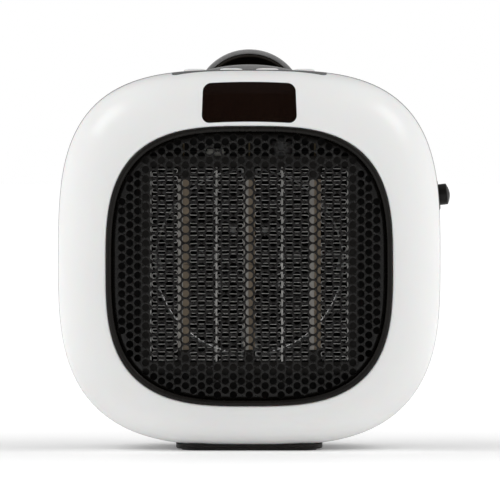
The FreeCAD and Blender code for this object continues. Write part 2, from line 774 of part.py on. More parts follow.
def display():
    """Smoked lens, digit module, remote receiver and their leaning board."""
    lens = window_prism(-PANEL_GAP).common(bezel_outer).cut(bezel_form(float(S.lens_thickness)))
    node(computed("display_lens", lens), "display_lens")

    tilt = float(S.display_tilt)
    middle_z = (float(S.window_low) + float(S.window_high)) / 2
    inward = Vector(0, math.cos(math.radians(tilt)), -math.sin(math.radians(tilt)))
    face = Vector(0, surface_y(middle_z), middle_z)
    module_depth = 7.0
    module_offset = 4.4 + module_depth / 2
    board_offset = 4.4 + module_depth + float(S.board) / 2
    module_at = face + inward * module_offset + Vector(4.1, 0, 0)
    node(tilted_box("display_module", module_at, (35.8, module_depth, 15.0), tilt), "display_module")
    receiver_at = face + inward * (board_offset - 2.8) + Vector(-22.0, 0, 0)
    node(tilted_box("ir_receiver", receiver_at, (4.4, 4.0, 10.5), tilt), "ir_receiver")
    board_at = face + inward * board_offset
    node(tilted_box("display_board", board_at, (58.0, S.board, 19.0), tilt), "display_board")


# ---------------------------------------------------------------- control panel and buttons

BUTTON_NAMES = ("power_button", "mode_button", "warmer_button", "cooler_button")
BUTTON_GAP = 0.3
TACT_TOP = 201.2
TACT_HEIGHT = 3.5
PANEL_POST_X = 39.3
PANEL_POST_RADIUS = 2.2


def top_height(x):
    """Height of the casing's top above a place across the heater."""
    exponent = float(S.roundness) + float(S.roundness_swing)
    share = abs(x) / float(S.half_width)
    return float(S.centre_z) + float(S.half_height) * (1 - share ** exponent) ** (1 / exponent)


def button_places():
    """Middle of each button across the heater, with its name."""
    return [(name, S.button_pitch * (index - 1.5)) for index, name in enumerate(BUTTON_NAMES)]


def oval_prism(name, x, half_length, half_depth, low_z, height):
    """Upright prism with an elliptical outline on the row of buttons."""
    ellipse = doc.addObject("Part::Ellipse", f"{name}_outline")
    bind(ellipse, "MajorRadius", half_length)
    bind(ellipse, "MinorRadius", half_depth)
    locate(ellipse, (x, S.button_y, low_z))
    prism = doc.addObject("Part::Extrusion", name)
    prism.Base = ellipse
    prism.DirMode = "Custom"
    prism.Dir = UP
    prism.Solid = True
    bind(prism, "LengthFwd", height)
    return prism


def control_panel():
    """Grey insert in the casing's top, with four oval holes and two board posts."""
    thickness = float(S.panel_thickness)
    front = bezel_outer.cut(bezel_form(thickness)).common(panel_prism(0.0))
    rear = rear_outer.cut(rear_form(thickness)).common(panel_prism(0.0))
    plate = front.fuse(rear)
    for side in (-1, 1):
        foot = Vector(side * PANEL_POST_X, float(S.button_y), TACT_TOP - TACT_HEIGHT)
        plate = plate.fuse(cylinder(foot, UP, PANEL_POST_RADIUS, 8.0))
    blank = computed("panel_blank", plate)
    holes = []
    for name, x in button_places():
        holes.append(oval_prism(f"{name}_hole", x, S.button_length / 2 + BUTTON_GAP,
                                S.button_depth / 2 + BUTTON_GAP, 200.0, 20.0))
    return node(cut("control_panel", blank, fused("button_holes", holes)), "control_panel")


def top_buttons():
    """Four white domed buttons, each with a collar under the panel and a stem."""
    doc.recompute()
    for name, x in button_places():
        surface = top_height(float(x))
        cap = oval_prism(f"{name}_cap", x, S.button_length / 2, S.button_depth / 2,
                         surface - 3.2, S.button_proud + 3.2)
        doc.recompute()
        rounded = doc.addObject("Part::Fillet", f"{name}_rounded")
        rounded.Base = cap
        top = surface + float(S.button_proud)
        edges = [index for index, edge in enumerate(cap.Shape.Edges, start=1)
                 if edge.BoundBox.ZMin > top - 0.01]
        rounded.Edges = [(index, 0.9, 0.9) for index in edges]
        collar = oval_prism(f"{name}_collar", x, S.button_length / 2 + 0.8,
                            S.button_depth / 2 + 0.8, surface - 4.2, 1.0)
        stem_low = TACT_TOP + S.button_travel + 0.1
        stem = rod(f"{name}_stem", (x, S.button_y, stem_low), 1.5, surface - 4.1 - stem_low, "z")
        node(fused(f"{name}_solid", [rounded, collar, stem]), name)


def control_board():
    """Board under the buttons with one small switch below each of them."""
    low = TACT_TOP - TACT_HEIGHT - float(S.board)
    board = box("control_board", (-41.0, -44.5, low), (82.0, 19.5, S.board))
    node(board, "control_board")
    switches = []
    for name, x in button_places():
        switches.append(box(f"{name}_tact", (x - 3.0, S.button_y - 3.0, TACT_TOP - TACT_HEIGHT),
                            (6.0, 6.0, TACT_HEIGHT)))
    grouped("tact_switches", switches)


# ---------------------------------------------------------------- finger grip

def finger_grip():
    """Hood over the finger tub, and the black liner that makes tub and hood lining in one."""
    wall = float(S.grip_wall)
    hood = ellipsoid().cut(ellipsoid(wall)).cut(rear_outer)
    hood = max(hood.Solids, key=lambda solid: solid.Volume)
    node(computed("grip_hood", hood), "grip_hood")

    skin = float(S.liner_wall)
    gap = 0.2
    recess = Part.makeBox(80, 60, 40, Vector(-40, float(S.grip_y) + 0.5, 180))
    dome = ellipsoid(wall + gap).cut(ellipsoid(wall + gap + skin)).common(recess).cut(rear_outer)
    dome = max(dome.Solids, key=lambda solid: solid.Volume)
    floor = float(S.tub_floor_z)
    tub = rear_outer.common(tub_prism(0.0, floor, 240.0)).cut(tub_prism(-skin, floor + skin, 241.0))
    node(computed("grip_liner", tub.fuse(dome).removeSplitter()), "grip_liner")


# ---------------------------------------------------------------- base

FOOT_CORNER = 12.0
BASE_SCREW_SEAT = 2.6


def base_plinth():
    """Black plinth under the casing, its top following the casing's belly."""
    body = doc.addObject("PartDesign::Body", "plinth_blank")
    outline = new_sketch(body, "plinth_outline", offset=S.base_low)
    draw_rounded(outline, S.base_half_width, S.base_half_depth, FOOT_CORNER + 3.0)
    pad(body, outline, 26.0)
    groove = new_sketch(body, "foot_groove", offset=S.base_low)
    draw_rounded(groove, S.foot_half_width + 0.1, S.foot_half_depth + 0.1, FOOT_CORNER + 0.1)
    draw_rounded(groove, S.foot_half_width - S.foot_band - 0.1, S.foot_half_depth - S.foot_band - 0.1,
                 FOOT_CORNER - 6.1)
    pocket(body, groove, S.foot_height - S.base_low, reverse=True)
    heads = new_sketch(body, "head_recesses", offset=S.base_low)
    for x, y in BASE_SCREWS:
        draw_circle(heads, S.screw_head + 0.3, x, y)
    pocket(body, heads, BASE_SCREW_SEAT - S.base_low, reverse=True)
    holes = new_sketch(body, "base_screw_holes", offset=S.base_low)
    for x, y in BASE_SCREWS:
        draw_circle(holes, S.screw_radius + 0.15, x, y)
    pocket(body, holes, 30.0, reverse=True)
    belly = computed("casing_belly", bezel_form(-0.15).fuse(rear_form(-0.15)))
    return node(cut("base_plinth", body, belly), "base_plinth")


def rubber_foot_ring():
    """One-piece anti-slip ring under the base."""
    body = new_body("rubber_foot_ring")
    sketch = new_sketch(body, "foot_outline")
    draw_rounded(sketch, S.foot_half_width, S.foot_half_depth, FOOT_CORNER)
    draw_rounded(sketch, S.foot_half_width - S.foot_band, S.foot_half_depth - S.foot_band,
                 FOOT_CORNER - 6.0)
    pad(body, sketch, S.foot_height)


# ---------------------------------------------------------------- heating core

def sheet_strip(points, thickness):
    """Outline of a thin sheet whose middle line passes through the points."""
    count = len(points)
    sides = ([], [])
    for index, (x, z) in enumerate(points):
        before = points[max(index - 1, 0)]
        after = points[min(index + 1, count - 1)]
        normals = []
        for start, end in ((before, (x, z)), ((x, z), after)):
            run = math.hypot(end[0] - start[0], end[1] - start[1])
            if run > 0:
                normals.append(((start[1] - end[1]) / run, (end[0] - start[0]) / run))
        first, last = normals[0], normals[-1]
        share = 1 + first[0] * last[0] + first[1] * last[1]
        step_x = (first[0] + last[0]) / share * thickness / 2
        step_z = (first[1] + last[1]) / share * thickness / 2
        sides[0].append((x + step_x, z + step_z))
        sides[1].append((x - step_x, z - step_z))
    return sides[0] + sides[1][::-1]


def fin_column(label, low_x, high_x):
    """Aluminium sheet folded to and fro between two plates."""
    half = float(S.core_half_height) - 0.4
    fold = float(S.fin_fold)
    sheet_width = float(S.fin_sheet)
    count = int(2 * half / fold)
    start = float(S.core_z) - fold * count / 2
    left, right = low_x + sheet_width / 2, high_x - sheet_width / 2
    points = []
    for index in range(count + 1):
        ends = (left, right) if index % 2 == 0 else (right, left)
        points += [(ends[0], start + index * fold), (ends[1], start + index * fold)]
    corners = [Vector(x, float(S.core_front_y), z) for x, z in sheet_strip(points, sheet_width)]
    outline = Part.makePolygon(corners + corners[:1])
    return node(computed(label, Part.Face(outline).extrude(BACK * float(S.core_depth))), label)


def heating_core():
    """Three ceramic rows between six fin columns, with their electrodes, plates and dividers."""
    low = S.core_z - S.row_half_length
    electrode = 2.8
    gap = 0.05
    electrodes = []
    for index in (-1, 0, 1):
        middle = S.row_pitch * index
        left = middle - S.row_width / 2
        electrodes.append(box(f"electrode_{index + 2}", (left, S.core_front_y, low),
                              (electrode, S.core_depth, S.row_half_length * 2)))
        row = box(f"ceramic_row_{index + 2}", (left + electrode, S.core_front_y, low),
                  (S.row_width - electrode, S.core_depth, S.row_half_length * 2))
        node(row, f"ceramic_row_{index + 2}")
    grouped("row_electrodes", electrodes)
    near = float(S.row_width) / 2 + gap
    far = float(S.row_pitch - S.divider) / 2 - gap
    for index in range(6):
        middle = float(S.row_pitch) * (index // 2 - 1)
        span = (middle - far, middle - near) if index % 2 == 0 else (middle + near, middle + far)
        fin_column(f"fin_column_{index + 1}", *span)
    bottom = S.core_z - S.core_half_height
    plates = []
    for index in (-1, 1):
        middle = S.row_pitch * index / 2
        plates.append(box(f"divider_{index + 2}", (middle - S.divider / 2, S.core_front_y, bottom),
                          (S.divider, S.core_depth, S.core_half_height * 2)))
    grouped("fin_dividers", plates)
    side = S.row_pitch * 1.5 - S.divider / 2
    sides = [box("side_plate_right", (side, S.core_front_y, bottom),
                 (0.8, S.core_depth, S.core_half_height * 2)),
             box("side_plate_left", (-side - 0.8, S.core_front_y, bottom),
                 (0.8, S.core_depth, S.core_half_height * 2))]
    grouped("side_plates", sides)


CORE_SCREW_X = 56.8
CORE_SCREW_Z = 56.0


def core_frame():
    """Black heat-proof frame round the core, with tongues that close the ends of the rows."""
    body = new_body("core_frame")
    locate(body, (0.0, S.flange_y, S.core_z), ALONG["y"])
    front = S.core_front_y - 1.0 - S.flange_y
    ring = new_sketch(body, "frame_ring", offset=front)
    draw_rounded(ring, S.frame_half_width, S.frame_half_height, 3.0)
    draw_rectangle(ring, S.row_pitch * 1.5 - S.divider / 2 + 0.85, S.core_half_height + 0.1)
    pad(body, ring, -front - 0.1)
    tongues = new_sketch(body, "frame_tongues", offset=S.core_front_y - S.flange_y)
    length = (S.core_half_height - S.row_half_length) / 2
    for index in (-1, 0, 1):
        for side in (-1, 1):
            draw_rectangle(tongues, S.row_width / 2 - 0.05, length + 0.1,
                           S.row_pitch * index, (S.row_half_length + length + 0.2) * side)
    pad(body, tongues, S.core_depth)
    holes = new_sketch(body, "frame_holes", offset=-10.0)
    for side_x in (-1, 1):
        for side_z in (-1, 1):
            draw_circle(holes, S.screw_radius + 0.05, CORE_SCREW_X * side_x, CORE_SCREW_Z * side_z)
    pocket(body, holes, 20.0, reverse=True)


def core_safety():
    """Blade terminals, bimetal cut-out and thermal fuse on top of the core's frame."""
    top = S.core_z + S.frame_half_height
    blades = []
    for index in (-1, 0, 1):
        blades.append(box(f"terminal_{index + 2}", (S.row_pitch * index - 0.4, -43.0, top),
                          (0.8, 6.3, 8.0)))
    grouped("core_terminals", blades)
    can = rod("cutout_can", (18.0, -42.0, top), 7.0, 8.0, "z")
    button = rod("cutout_stud", (18.0, -42.0, top + 8.0), 3.0, 2.0, "z")
    node(fused("thermal_cutout", [can, button]), "thermal_cutout")
    barrel = rod("fuse_barrel", (-24.0, -37.0, top + 2.0), 2.0, 11.0, "x")
    node(barrel, "thermal_fuse")


# ---------------------------------------------------------------- duct, fan and motor

BRACKET = 2.0
EAR_RADIUS = 60.0
BRACKET_SCREW = 57.0 / math.sqrt(2)


def air_duct():
    """Flange held by the casing screws, square collar for the core and round shroud for the fan."""
    body = new_body("air_duct")
    locate(body, (0.0, S.flange_y, S.centre_z), ALONG["y"])
    drop = S.centre_z - S.core_z
    plate = new_sketch(body, "duct_plate")
    draw_rounded(plate, 80.0, 79.0, 10.0)
    pad(body, plate, 2.0)
    collar = new_sketch(body, "duct_collar")
    draw_rectangle(collar, S.frame_half_width + 2.5, S.frame_half_height + 2.5, 0.0, drop)
    draw_rectangle(collar, S.frame_half_width + 0.5, S.frame_half_height + 0.5, 0.0, drop)
    pad(body, collar, 9.0, reverse=True)
    shroud = new_sketch(body, "duct_shroud", offset=1.0)
    draw_circle(shroud, S.duct_radius + S.duct_wall, 0.0, drop)
    draw_circle(shroud, S.duct_radius, 0.0, drop)
    pad(body, shroud, S.shroud_rear_y - S.flange_y - 1.0)
    ears = new_sketch(body, "duct_ears", offset=S.shroud_rear_y - S.flange_y - 2.0)
    draw_circle(ears, EAR_RADIUS, 0.0, drop)
    draw_circle(ears, S.duct_radius + 1.0, 0.0, drop)
    pad(body, ears, 2.0)
    mouth = new_sketch(body, "duct_mouth", offset=-1.0)
    draw_circle(mouth, S.duct_radius, 0.0, drop)
    pocket(body, mouth, 10.0, reverse=True)
    holes = new_sketch(body, "duct_holes", offset=-1.0)
    for side_x in (-1, 1):
        for side_z in (-1, 1):
            draw_circle(holes, S.screw_radius + 0.15, S.screw_x * side_x, S.screw_z * side_z)
            draw_circle(holes, S.screw_radius + 0.15, CORE_SCREW_X * side_x,
                        drop + CORE_SCREW_Z * side_z)
    pocket(body, holes, 4.0, reverse=True)
    ear_holes = new_sketch(body, "ear_holes", offset=S.shroud_rear_y - S.flange_y + 1.0)
    for side_x in (-1, 1):
        for side_z in (-1, 1):
            draw_circle(ear_holes, S.screw_radius + 0.05, BRACKET_SCREW * side_x,
                        drop + BRACKET_SCREW * side_z)
    pocket(body, ear_holes, 4.0)


def motor_bracket():
    """Four-armed plate that carries the motor behind the fan."""
    body = new_body("motor_bracket")
    locate(body, (0.0, S.shroud_rear_y, S.core_z), ALONG["y"])
    rim = new_sketch(body, "bracket_rim")
    draw_circle(rim, EAR_RADIUS)
    draw_circle(rim, S.duct_radius - 1.0)
    pad(body, rim, BRACKET)
    arm = 4.5
    reach = S.duct_radius + 1.0
    level = new_sketch(body, "bracket_arm_level")
    draw_rectangle(level, reach, arm)
    pad(body, level, BRACKET)
    upright = new_sketch(body, "bracket_arm_upright")
    draw_rectangle(upright, arm, reach)
    pad(body, upright, BRACKET)
    middle = new_sketch(body, "bracket_middle")
    draw_circle(middle, S.motor_radius)
    pad(body, middle, BRACKET)
    holes = new_sketch(body, "bracket_holes", offset=-1.0)
    draw_circle(holes, 4.3)
    for side_x in (-1, 1):
        for side_z in (-1, 1):
            draw_circle(holes, S.screw_radius + 0.15, BRACKET_SCREW * side_x, BRACKET_SCREW * side_z)
    pocket(body, holes, 5.0, reverse=True)


BEARING_RADIUS = 4.0
RUNNING_GAP = 0.05


def motor():
    """Fan motor: case, cover, two bushes, stator, and the rotor with its shaft."""
    at = (0.0, S.motor_front_y, S.core_z)
    skin = 1.2
    seat = BEARING_RADIUS
    turned("motor_case", [
        (seat, 0.0), (S.motor_radius, 0.0), (S.motor_radius, S.motor_length - skin),
        (S.motor_radius - skin, S.motor_length - skin), (S.motor_radius - skin, skin), (seat, skin),
    ], at, ALONG["y"])
    turned("motor_cover", [
        (seat, S.motor_length - skin), (S.motor_radius, S.motor_length - skin),
        (S.motor_radius, S.motor_length), (seat, S.motor_length),
    ], at, ALONG["y"])
    turned("motor_stator", [
        (13.2, 6.0), (S.motor_radius - skin, 6.0),
        (S.motor_radius - skin, 27.0), (13.2, 27.0),
    ], at, ALONG["y"])
    turned("motor_rotor", [
        (S.shaft_radius, 7.0), (12.5, 7.0), (12.5, 26.0), (S.shaft_radius, 26.0),
    ], at, ALONG["y"])
    bushes = []
    for index, start in enumerate((S.motor_front_y - 1.0, S.motor_front_y + S.motor_length - 4.0)):
        outer = rod(f"bush_blank_{index + 1}", (0.0, start, S.core_z), BEARING_RADIUS, 5.0, "y")
        bore = rod(f"bush_bore_{index + 1}", (0.0, start - 1.0, S.core_z),
                   S.shaft_radius + RUNNING_GAP, 7.0, "y")
        bushes.append(cut(f"bush_{index + 1}", outer, bore))
    grouped("motor_bushes", bushes)
    shaft_start = S.hub_front_y + 0.5
    shaft = rod("motor_shaft", (0.0, shaft_start, S.core_z), S.shaft_radius,
                S.motor_front_y + S.motor_length + 1.0 - shaft_start, "y")
    node(shaft, "motor_shaft")


def blade_section(sketch, chord, thickness, degrees):
    """Thin rectangle across a blade, turned from the fan's axis by an angle."""
    angle = math.radians(degrees)
    along = Vector(math.sin(angle), math.cos(angle), 0) * (chord / 2)
    beside = Vector(math.cos(angle), -math.sin(angle), 0) * (thickness / 2)
    middle = Vector(0, 9.5, 0)
    corners = (middle - along - beside, middle + along - beside,
               middle + along + beside, middle - along + beside)
    draw_profile(sketch, [(corner.x, corner.y) for corner in corners])


def fan_impeller():
    """Axial fan: a cup-shaped hub and twisted blades."""
    body = new_body("fan_impeller")
    locate(body, (0.0, S.hub_front_y, S.core_z), ALONG["y"])
    hub = new_sketch(body, "hub_profile", "XZ_Plane")
    draw_profile(hub, [
        (S.shaft_radius, 0.0), (S.hub_radius - 2.5, 0.0), (S.hub_radius, 2.5),
        (S.hub_radius, S.hub_length), (S.hub_radius - 1.6, S.hub_length),
        (S.hub_radius - 1.6, 3.0), (4.0, 3.0), (4.0, S.hub_length - 2.0),
        (S.shaft_radius, S.hub_length - 2.0),
    ])
    turn = body.newObject("PartDesign::Revolution", "hub_turn")
    turn.Profile = hub
    turn.ReferenceAxis = (hub, ["V_Axis"])
    turn.Angle = 360.0
    root = new_sketch(body, "blade_root", "XZ_Plane", offset=S.hub_radius - 0.8)
    blade_section(root, 17.0, 1.6, float(S.blade_root_angle))
    tip = new_sketch(body, "blade_tip", "XZ_Plane", offset=S.fan_tip - 2.6)
    blade_section(tip, 33.0, 1.2, float(S.blade_tip_angle))
    blade = body.newObject("PartDesign::AdditiveLoft", "blade")
    blade.Profile = root
    blade.Sections = [tip]
    doc.recompute()
    ring = body.newObject("PartDesign::PolarPattern", "blades")
    ring.Originals = [blade]
    ring.Axis = (datum(body, "Z_Axis"), [""])
    ring.Angle = 360.0
    bind(ring, "Occurrences", S.blade_count)
    body.Tip = ring


# ---------------------------------------------------------------- electronics

def main_board():
    """Power board on the left wall with its relays, transformer, capacitors and terminal block."""
    depth, height = BOARD_Y[1] - BOARD_Y[0], BOARD_Z[1] - BOARD_Z[0]
    blank = box("main_board_blank", (BOARD_X, BOARD_Y[0], BOARD_Z[0]), (S.board, depth, height))
    holes = []
    for index, (y, z) in enumerate(board_posts(), start=1):
        holes.append(rod(f"board_hole_{index}", (BOARD_X - 1, y, z), LOOSE_HOLE, 4.0, "x"))
    node(cut("main_board", blank, fused("board_holes", holes)), "main_board")
    face = BOARD_X + S.board
    relays = [box(f"relay_{index + 1}", (face, -8.0 + 24.0 * index, 112.0), (15.5, 19.0, 15.0))
              for index in (0, 1)]
    grouped("relays", relays)
    node(box("power_transformer", (face, 12.0, 78.0), (18.0, 24.0, 22.0)), "power_transformer")
    cans = [rod(f"capacitor_{index + 1}", (face, 0.0, 80.0 + 13.0 * index), 5.0, 16.0, "x")
            for index in (0, 1)]
    grouped("capacitors", cans)
    node(box("terminal_block", (face, -9.0, 97.5 + 4.0), (10.0, 26.0, 8.0)), "terminal_block")
    node(box("tilt_switch", (38.0, 8.0, TILT_SEAT_Z), (20.0, 14.0, 16.0)), "tilt_switch")


# ---------------------------------------------------------------- side power switch

CAP_GAP = 0.3


def power_switch():
    """Push switch on the right side: ring and barrel, nut behind the wall, and the moving cap."""
    at = (S.switch_x, S.switch_y, S.switch_z)
    bore = S.cap_radius + CAP_GAP
    cap_low = -6.0
    floor = cap_low - S.cap_travel - 0.5
    turned("switch_body", [
        (0.0, -20.0), (S.switch_barrel, -20.0), (S.switch_barrel, 0.0), (S.ring_radius, 0.0),
        (S.ring_radius, 0.6), (S.ring_radius - 0.5, 1.0), (bore, 1.0), (bore, floor), (0.0, floor),
    ], at, SWITCH_AXIS)
    turned("switch_nut", [
        (S.switch_barrel + 0.05, -5.8), (10.0, -5.8), (10.0, -3.4), (S.switch_barrel + 0.05, -3.4),
    ], at, SWITCH_AXIS)
    rim = S.cap_proud - 1.6
    turned("switch_cap", [
        (0.0, cap_low), (S.cap_radius, cap_low), (S.cap_radius, rim - 0.3), (S.cap_radius - 0.3, rim),
        (S.cap_radius * 0.75, rim + 0.75), (S.cap_radius * 0.5, rim + 1.2),
        (S.cap_radius * 0.25, rim + 1.5), (0.0, S.cap_proud),
    ], at, SWITCH_AXIS)


# ---------------------------------------------------------------- rear grille and cord inlet

# How far a louvre's slot drops for each millimetre it runs outwards.
LOUVRE_LEAN = 1.1


def rear_grille():
    """Round intake grille with leaning louvres on both sides of a middle rib."""
    thickness = 3.0
    body = new_body("rear_grille")
    locate(body, (0.0, S.rear_y - thickness, S.core_z), ALONG["y"])
    disc = new_sketch(body, "intake_disc")
    draw_circle(disc, S.intake_radius)
    pad(body, disc, thickness)
    slots = new_sketch(body, "intake_slots")
    rows, pitch, half_slot, rib, margin = 8, 5.0, 1.3, 1.5, 5.0
    edge = float(S.intake_radius) - margin
    rise = LOUVRE_LEAN * thickness / 2
    for index in range(-rows, rows + 1):
        height = pitch * index
        reach = math.sqrt(edge ** 2 - (abs(height) + half_slot) ** 2)
        for side in (-1, 1):
            draw_rectangle(slots, (reach - rib) / 2, half_slot, (reach + rib) / 2 * side, height - rise)
    louvres = pocket(body, slots, thickness, reverse=True)
    louvres.UseCustomVector = True
    louvres.Direction = Vector(0.0, LOUVRE_LEAN, 1.0)


def cord_gland():
    """Bush in the rear wall that the mains lead passes through."""
    proud = 2.2
    start = proud - S.gland_length
    turned("cord_gland", [
        (S.gland_bore, start), (6.0, start), (6.0, 0.0), (8.2, 0.0), (8.2, proud - 0.8),
        (7.4, proud), (S.gland_bore, proud),
    ], (S.gland_x, S.rear_y, S.gland_z), ALONG["y"])


# ---------------------------------------------------------------- fasteners

def fasteners():
    """Screws of the casing, the base, the core, the motor bracket and the main board."""
    seat = float(S.flange_y) + 2.0 + WELL_SEAT
    screws("casing_screws", [tuple(place) for place in screw_places(seat)], "-y",
           S.screw_head, 2.0, S.screw_radius, 20.0)
    screws("base_screws", [(x, y, BASE_SCREW_SEAT) for x, y in BASE_SCREWS], "z",
           S.screw_head, 1.3, S.screw_radius, 11.0)
    behind = float(S.flange_y) + 2.0
    core = float(S.core_z)
    screws("core_screws", [(CORE_SCREW_X * sx, behind, core + CORE_SCREW_Z * sz)
                           for sx in (-1, 1) for sz in (-1, 1)], "-y",
           S.screw_head, 1.6, S.screw_radius, 10.0)
    bracket = float(S.shroud_rear_y) + BRACKET
    screws("bracket_screws", [(BRACKET_SCREW * sx, bracket, core + BRACKET_SCREW * sz)
                              for sx in (-1, 1) for sz in (-1, 1)], "-y",
           S.screw_head, 1.6, S.screw_radius, 5.0)
    face = BOARD_X + float(S.board)
    screws("board_screws", [(face, y, z) for y, z in board_posts()], "-x",
           S.screw_head, 1.6, S.screw_radius, 7.0)


# ---------------------------------------------------------------- the whole heater

def check_and_export():
    """Stop on any failed object or shape, then write each piece to its own file."""
    doc.recompute()
    for thing in doc.Objects:
        if "Invalid" in thing.State or "Error" in thing.State:
            raise RuntimeError(f"{thing.Name} failed: {thing.State}")
    for thing in nodes:
        if thing.Shape.isNull() or not thing.Shape.isValid() or not thing.Shape.Solids:
            raise RuntimeError(f"{thing.Label} has no valid solid")
    os.makedirs("parts", exist_ok=True)
    for thing in nodes:
        thing.Shape.exportStep(f"parts/{thing.Label}.step")
        print(f"{thing.Label}: {len(thing.Shape.Solids)} solid, {thing.Shape.Volume / 1000:.1f} cm3")


front_bezel()
rear_housing()
trim_ring()
front_grille()
display()
control_panel()
top_buttons()
control_board()
finger_grip()
base_plinth()
rubber_foot_ring()
heating_core()
core_frame()
core_safety()
air_duct()
motor_bracket()
motor()
fan_impeller()
main_board()
power_switch()
rear_grille()
cord_gland()
fasteners()
check_and_export()
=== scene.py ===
import random
from math import asin, atan2, copysign, cos, degrees, hypot, inf, pi, radians, sin, sqrt

import bmesh
import bpy
from mathutils import Matrix, Vector
from mathutils.geometry import delaunay_2d_cdt


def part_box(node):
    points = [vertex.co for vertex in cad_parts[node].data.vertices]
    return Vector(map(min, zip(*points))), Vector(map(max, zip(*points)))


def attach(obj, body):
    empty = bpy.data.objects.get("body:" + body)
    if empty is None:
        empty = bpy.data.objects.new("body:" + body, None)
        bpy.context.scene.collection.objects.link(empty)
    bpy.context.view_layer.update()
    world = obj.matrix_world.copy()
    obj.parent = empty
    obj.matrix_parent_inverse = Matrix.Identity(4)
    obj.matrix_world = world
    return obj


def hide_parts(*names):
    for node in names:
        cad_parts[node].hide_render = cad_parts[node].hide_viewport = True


# Looks of the ceramic space heater.  Lengths are metres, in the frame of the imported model:
# +Z up, the front faces -Y, the floor is z = 0.

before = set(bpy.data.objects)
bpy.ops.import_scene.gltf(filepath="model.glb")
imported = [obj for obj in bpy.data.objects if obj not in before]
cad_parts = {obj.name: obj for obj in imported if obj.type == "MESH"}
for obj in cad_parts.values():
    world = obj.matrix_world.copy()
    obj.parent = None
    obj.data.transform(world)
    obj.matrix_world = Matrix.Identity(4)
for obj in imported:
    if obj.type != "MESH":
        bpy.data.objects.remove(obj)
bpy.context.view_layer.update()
rng = random.Random(7)

MM = 0.001
TURN = 2 * pi
STEPS = 192


def mm(*values):
    """Millimetres as metres."""
    return tuple(value * MM for value in values)


def in_mm(*points):
    """Profile whose (radius, height) points are given in millimetres."""
    return [mm(*point) for point in points]


def middle_of(node):
    low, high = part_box(node)
    return (Vector(low) + Vector(high)) / 2


# ---- sizes, from the frame

bezel_low, bezel_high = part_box("front_bezel")
housing_low, housing_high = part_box("rear_housing")
trim_low, trim_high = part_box("trim_ring")

HALF_WIDTH = bezel_high.x
HALF_HEIGHT = (housing_high.z - housing_low.z) / 2
CENTRE_Z = (housing_high.z + housing_low.z) / 2
ROUNDNESS, ROUNDNESS_SWING = 3.2, 0.15
WALL = 2.4 * MM
DOME_DEPTH = 29 * MM
WIDEST_Y = bezel_low.y + DOME_DEPTH
PARTING_Y = -31 * MM
REAR_LENGTH = 105 * MM
REAR_Y = housing_high.y
REAR_EXPONENT = 4.0

TRIM_FLANGE = 6 * MM
OPEN_HALF_WIDTH = trim_high.x - TRIM_FLANGE
OPEN_HALF_HEIGHT = (trim_high.z - trim_low.z) / 2 - TRIM_FLANGE
OPEN_Z = 100.9 * MM
OPEN_ROUNDNESS = 3.08
RIM = 0.9 * MM       # rounding of the bezel's edge at the opening
SEAM = 0.35 * MM     # how far the bezel stays inside the housing where they meet
TRIM_WIDTH = 3.0 * MM
TRIM_FRONT = trim_low.y

GRILLE_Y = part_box("front_grille")[0].y
GRILLE_SHEET = 0.8 * MM
HOLE_RADIUS = 2.0 * MM
HOLE_PITCH = 5.0 * MM
GRILLE_BORDER = 3.6 * MM
SHEET_INSET = 1.6 * MM
ROLL_START = 5.0 * MM
ROLL_DEPTH = 1.9 * MM

PANEL_GAP = 0.15 * MM
WELL_X, WELL_Z = 74 * MM, 72 * MM
WELL_RADIUS, WELL_BORE, WELL_SEAT = 5.5 * MM, 3.7 * MM, -19.5 * MM
SCREW_X, BASE_SCREW_Y = 22 * MM, 36 * MM
CORE_Z = middle_of("side_plates").z


# ---- outlines and surfaces

def superellipse(angle, half_width, half_height, exponent):
    """Point of a superellipse in the direction of an angle."""
    across = abs(cos(angle)) / half_width
    upward = abs(sin(angle)) / half_height
    reach = (across ** exponent + upward ** exponent) ** (-1 / exponent)
    return reach * cos(angle), reach * sin(angle)


def casing_point(angle, inset=0.0, scale=1.0):
    """Point of the casing's widest outline."""
    exponent = ROUNDNESS + ROUNDNESS_SWING * sin(angle)
    x, z = superellipse(angle, HALF_WIDTH - inset, HALF_HEIGHT - inset, exponent)
    return x * scale, z * scale + CENTRE_Z


def opening_point(angle, grow=0.0):
    """Point of the front opening's outline, grown or shrunk."""
    x, z = superellipse(angle, OPEN_HALF_WIDTH + grow, OPEN_HALF_HEIGHT + grow, OPEN_ROUNDNESS)
    return x, z + OPEN_Z


def angles(count=STEPS):
    return [TURN * index / count for index in range(count)]


def loop(outline, y):
    """Closed ring of points at one depth."""
    return [Vector((x, y, z)) for x, z in (outline(angle) for angle in angles())]


def arc_steps(start, end, count):
    """Angles in radians from start to end, in degrees, both included."""
    return [radians(start + (end - start) * index / count) for index in range(count + 1)]


def dome_rings(inset, rim=RIM, seam=0.0):
    """Rings of the bezel's surface from the parting plane forward to the opening."""
    rings = [loop(lambda a: casing_point(a, inset + seam), PARTING_Y - step) for step in mm(0, 2, 4.5)]
    for turn in arc_steps(0, 90, 36):
        def outline(angle, mix=cos(turn)):
            inner, outer = opening_point(angle, rim), casing_point(angle, inset + seam)
            return [i + (o - i) * mix for i, o in zip(inner, outer)]
        rings.append(loop(outline, WIDEST_Y - (DOME_DEPTH - inset) * sin(turn)))
    return rings


def rear_rings(inset):
    """Rings of the rear housing's surface from the parting plane back to the rear face."""
    last = (REAR_Y - PARTING_Y) / REAR_LENGTH
    crowding = 0.9
    rings = []
    for turn in arc_steps(0, 90, 44):
        step = last * sin(turn) ** crowding
        scale = (1 - step ** REAR_EXPONENT) ** (1 / REAR_EXPONENT)
        rings.append(loop(lambda a, s=scale: casing_point(a, inset, s),
                          PARTING_Y + (REAR_LENGTH - inset) * step))
    return rings


# ---- mesh helpers

def add_object(name, data):
    piece = bpy.data.objects.new(name, data)
    bpy.context.scene.collection.objects.link(piece)
    return piece


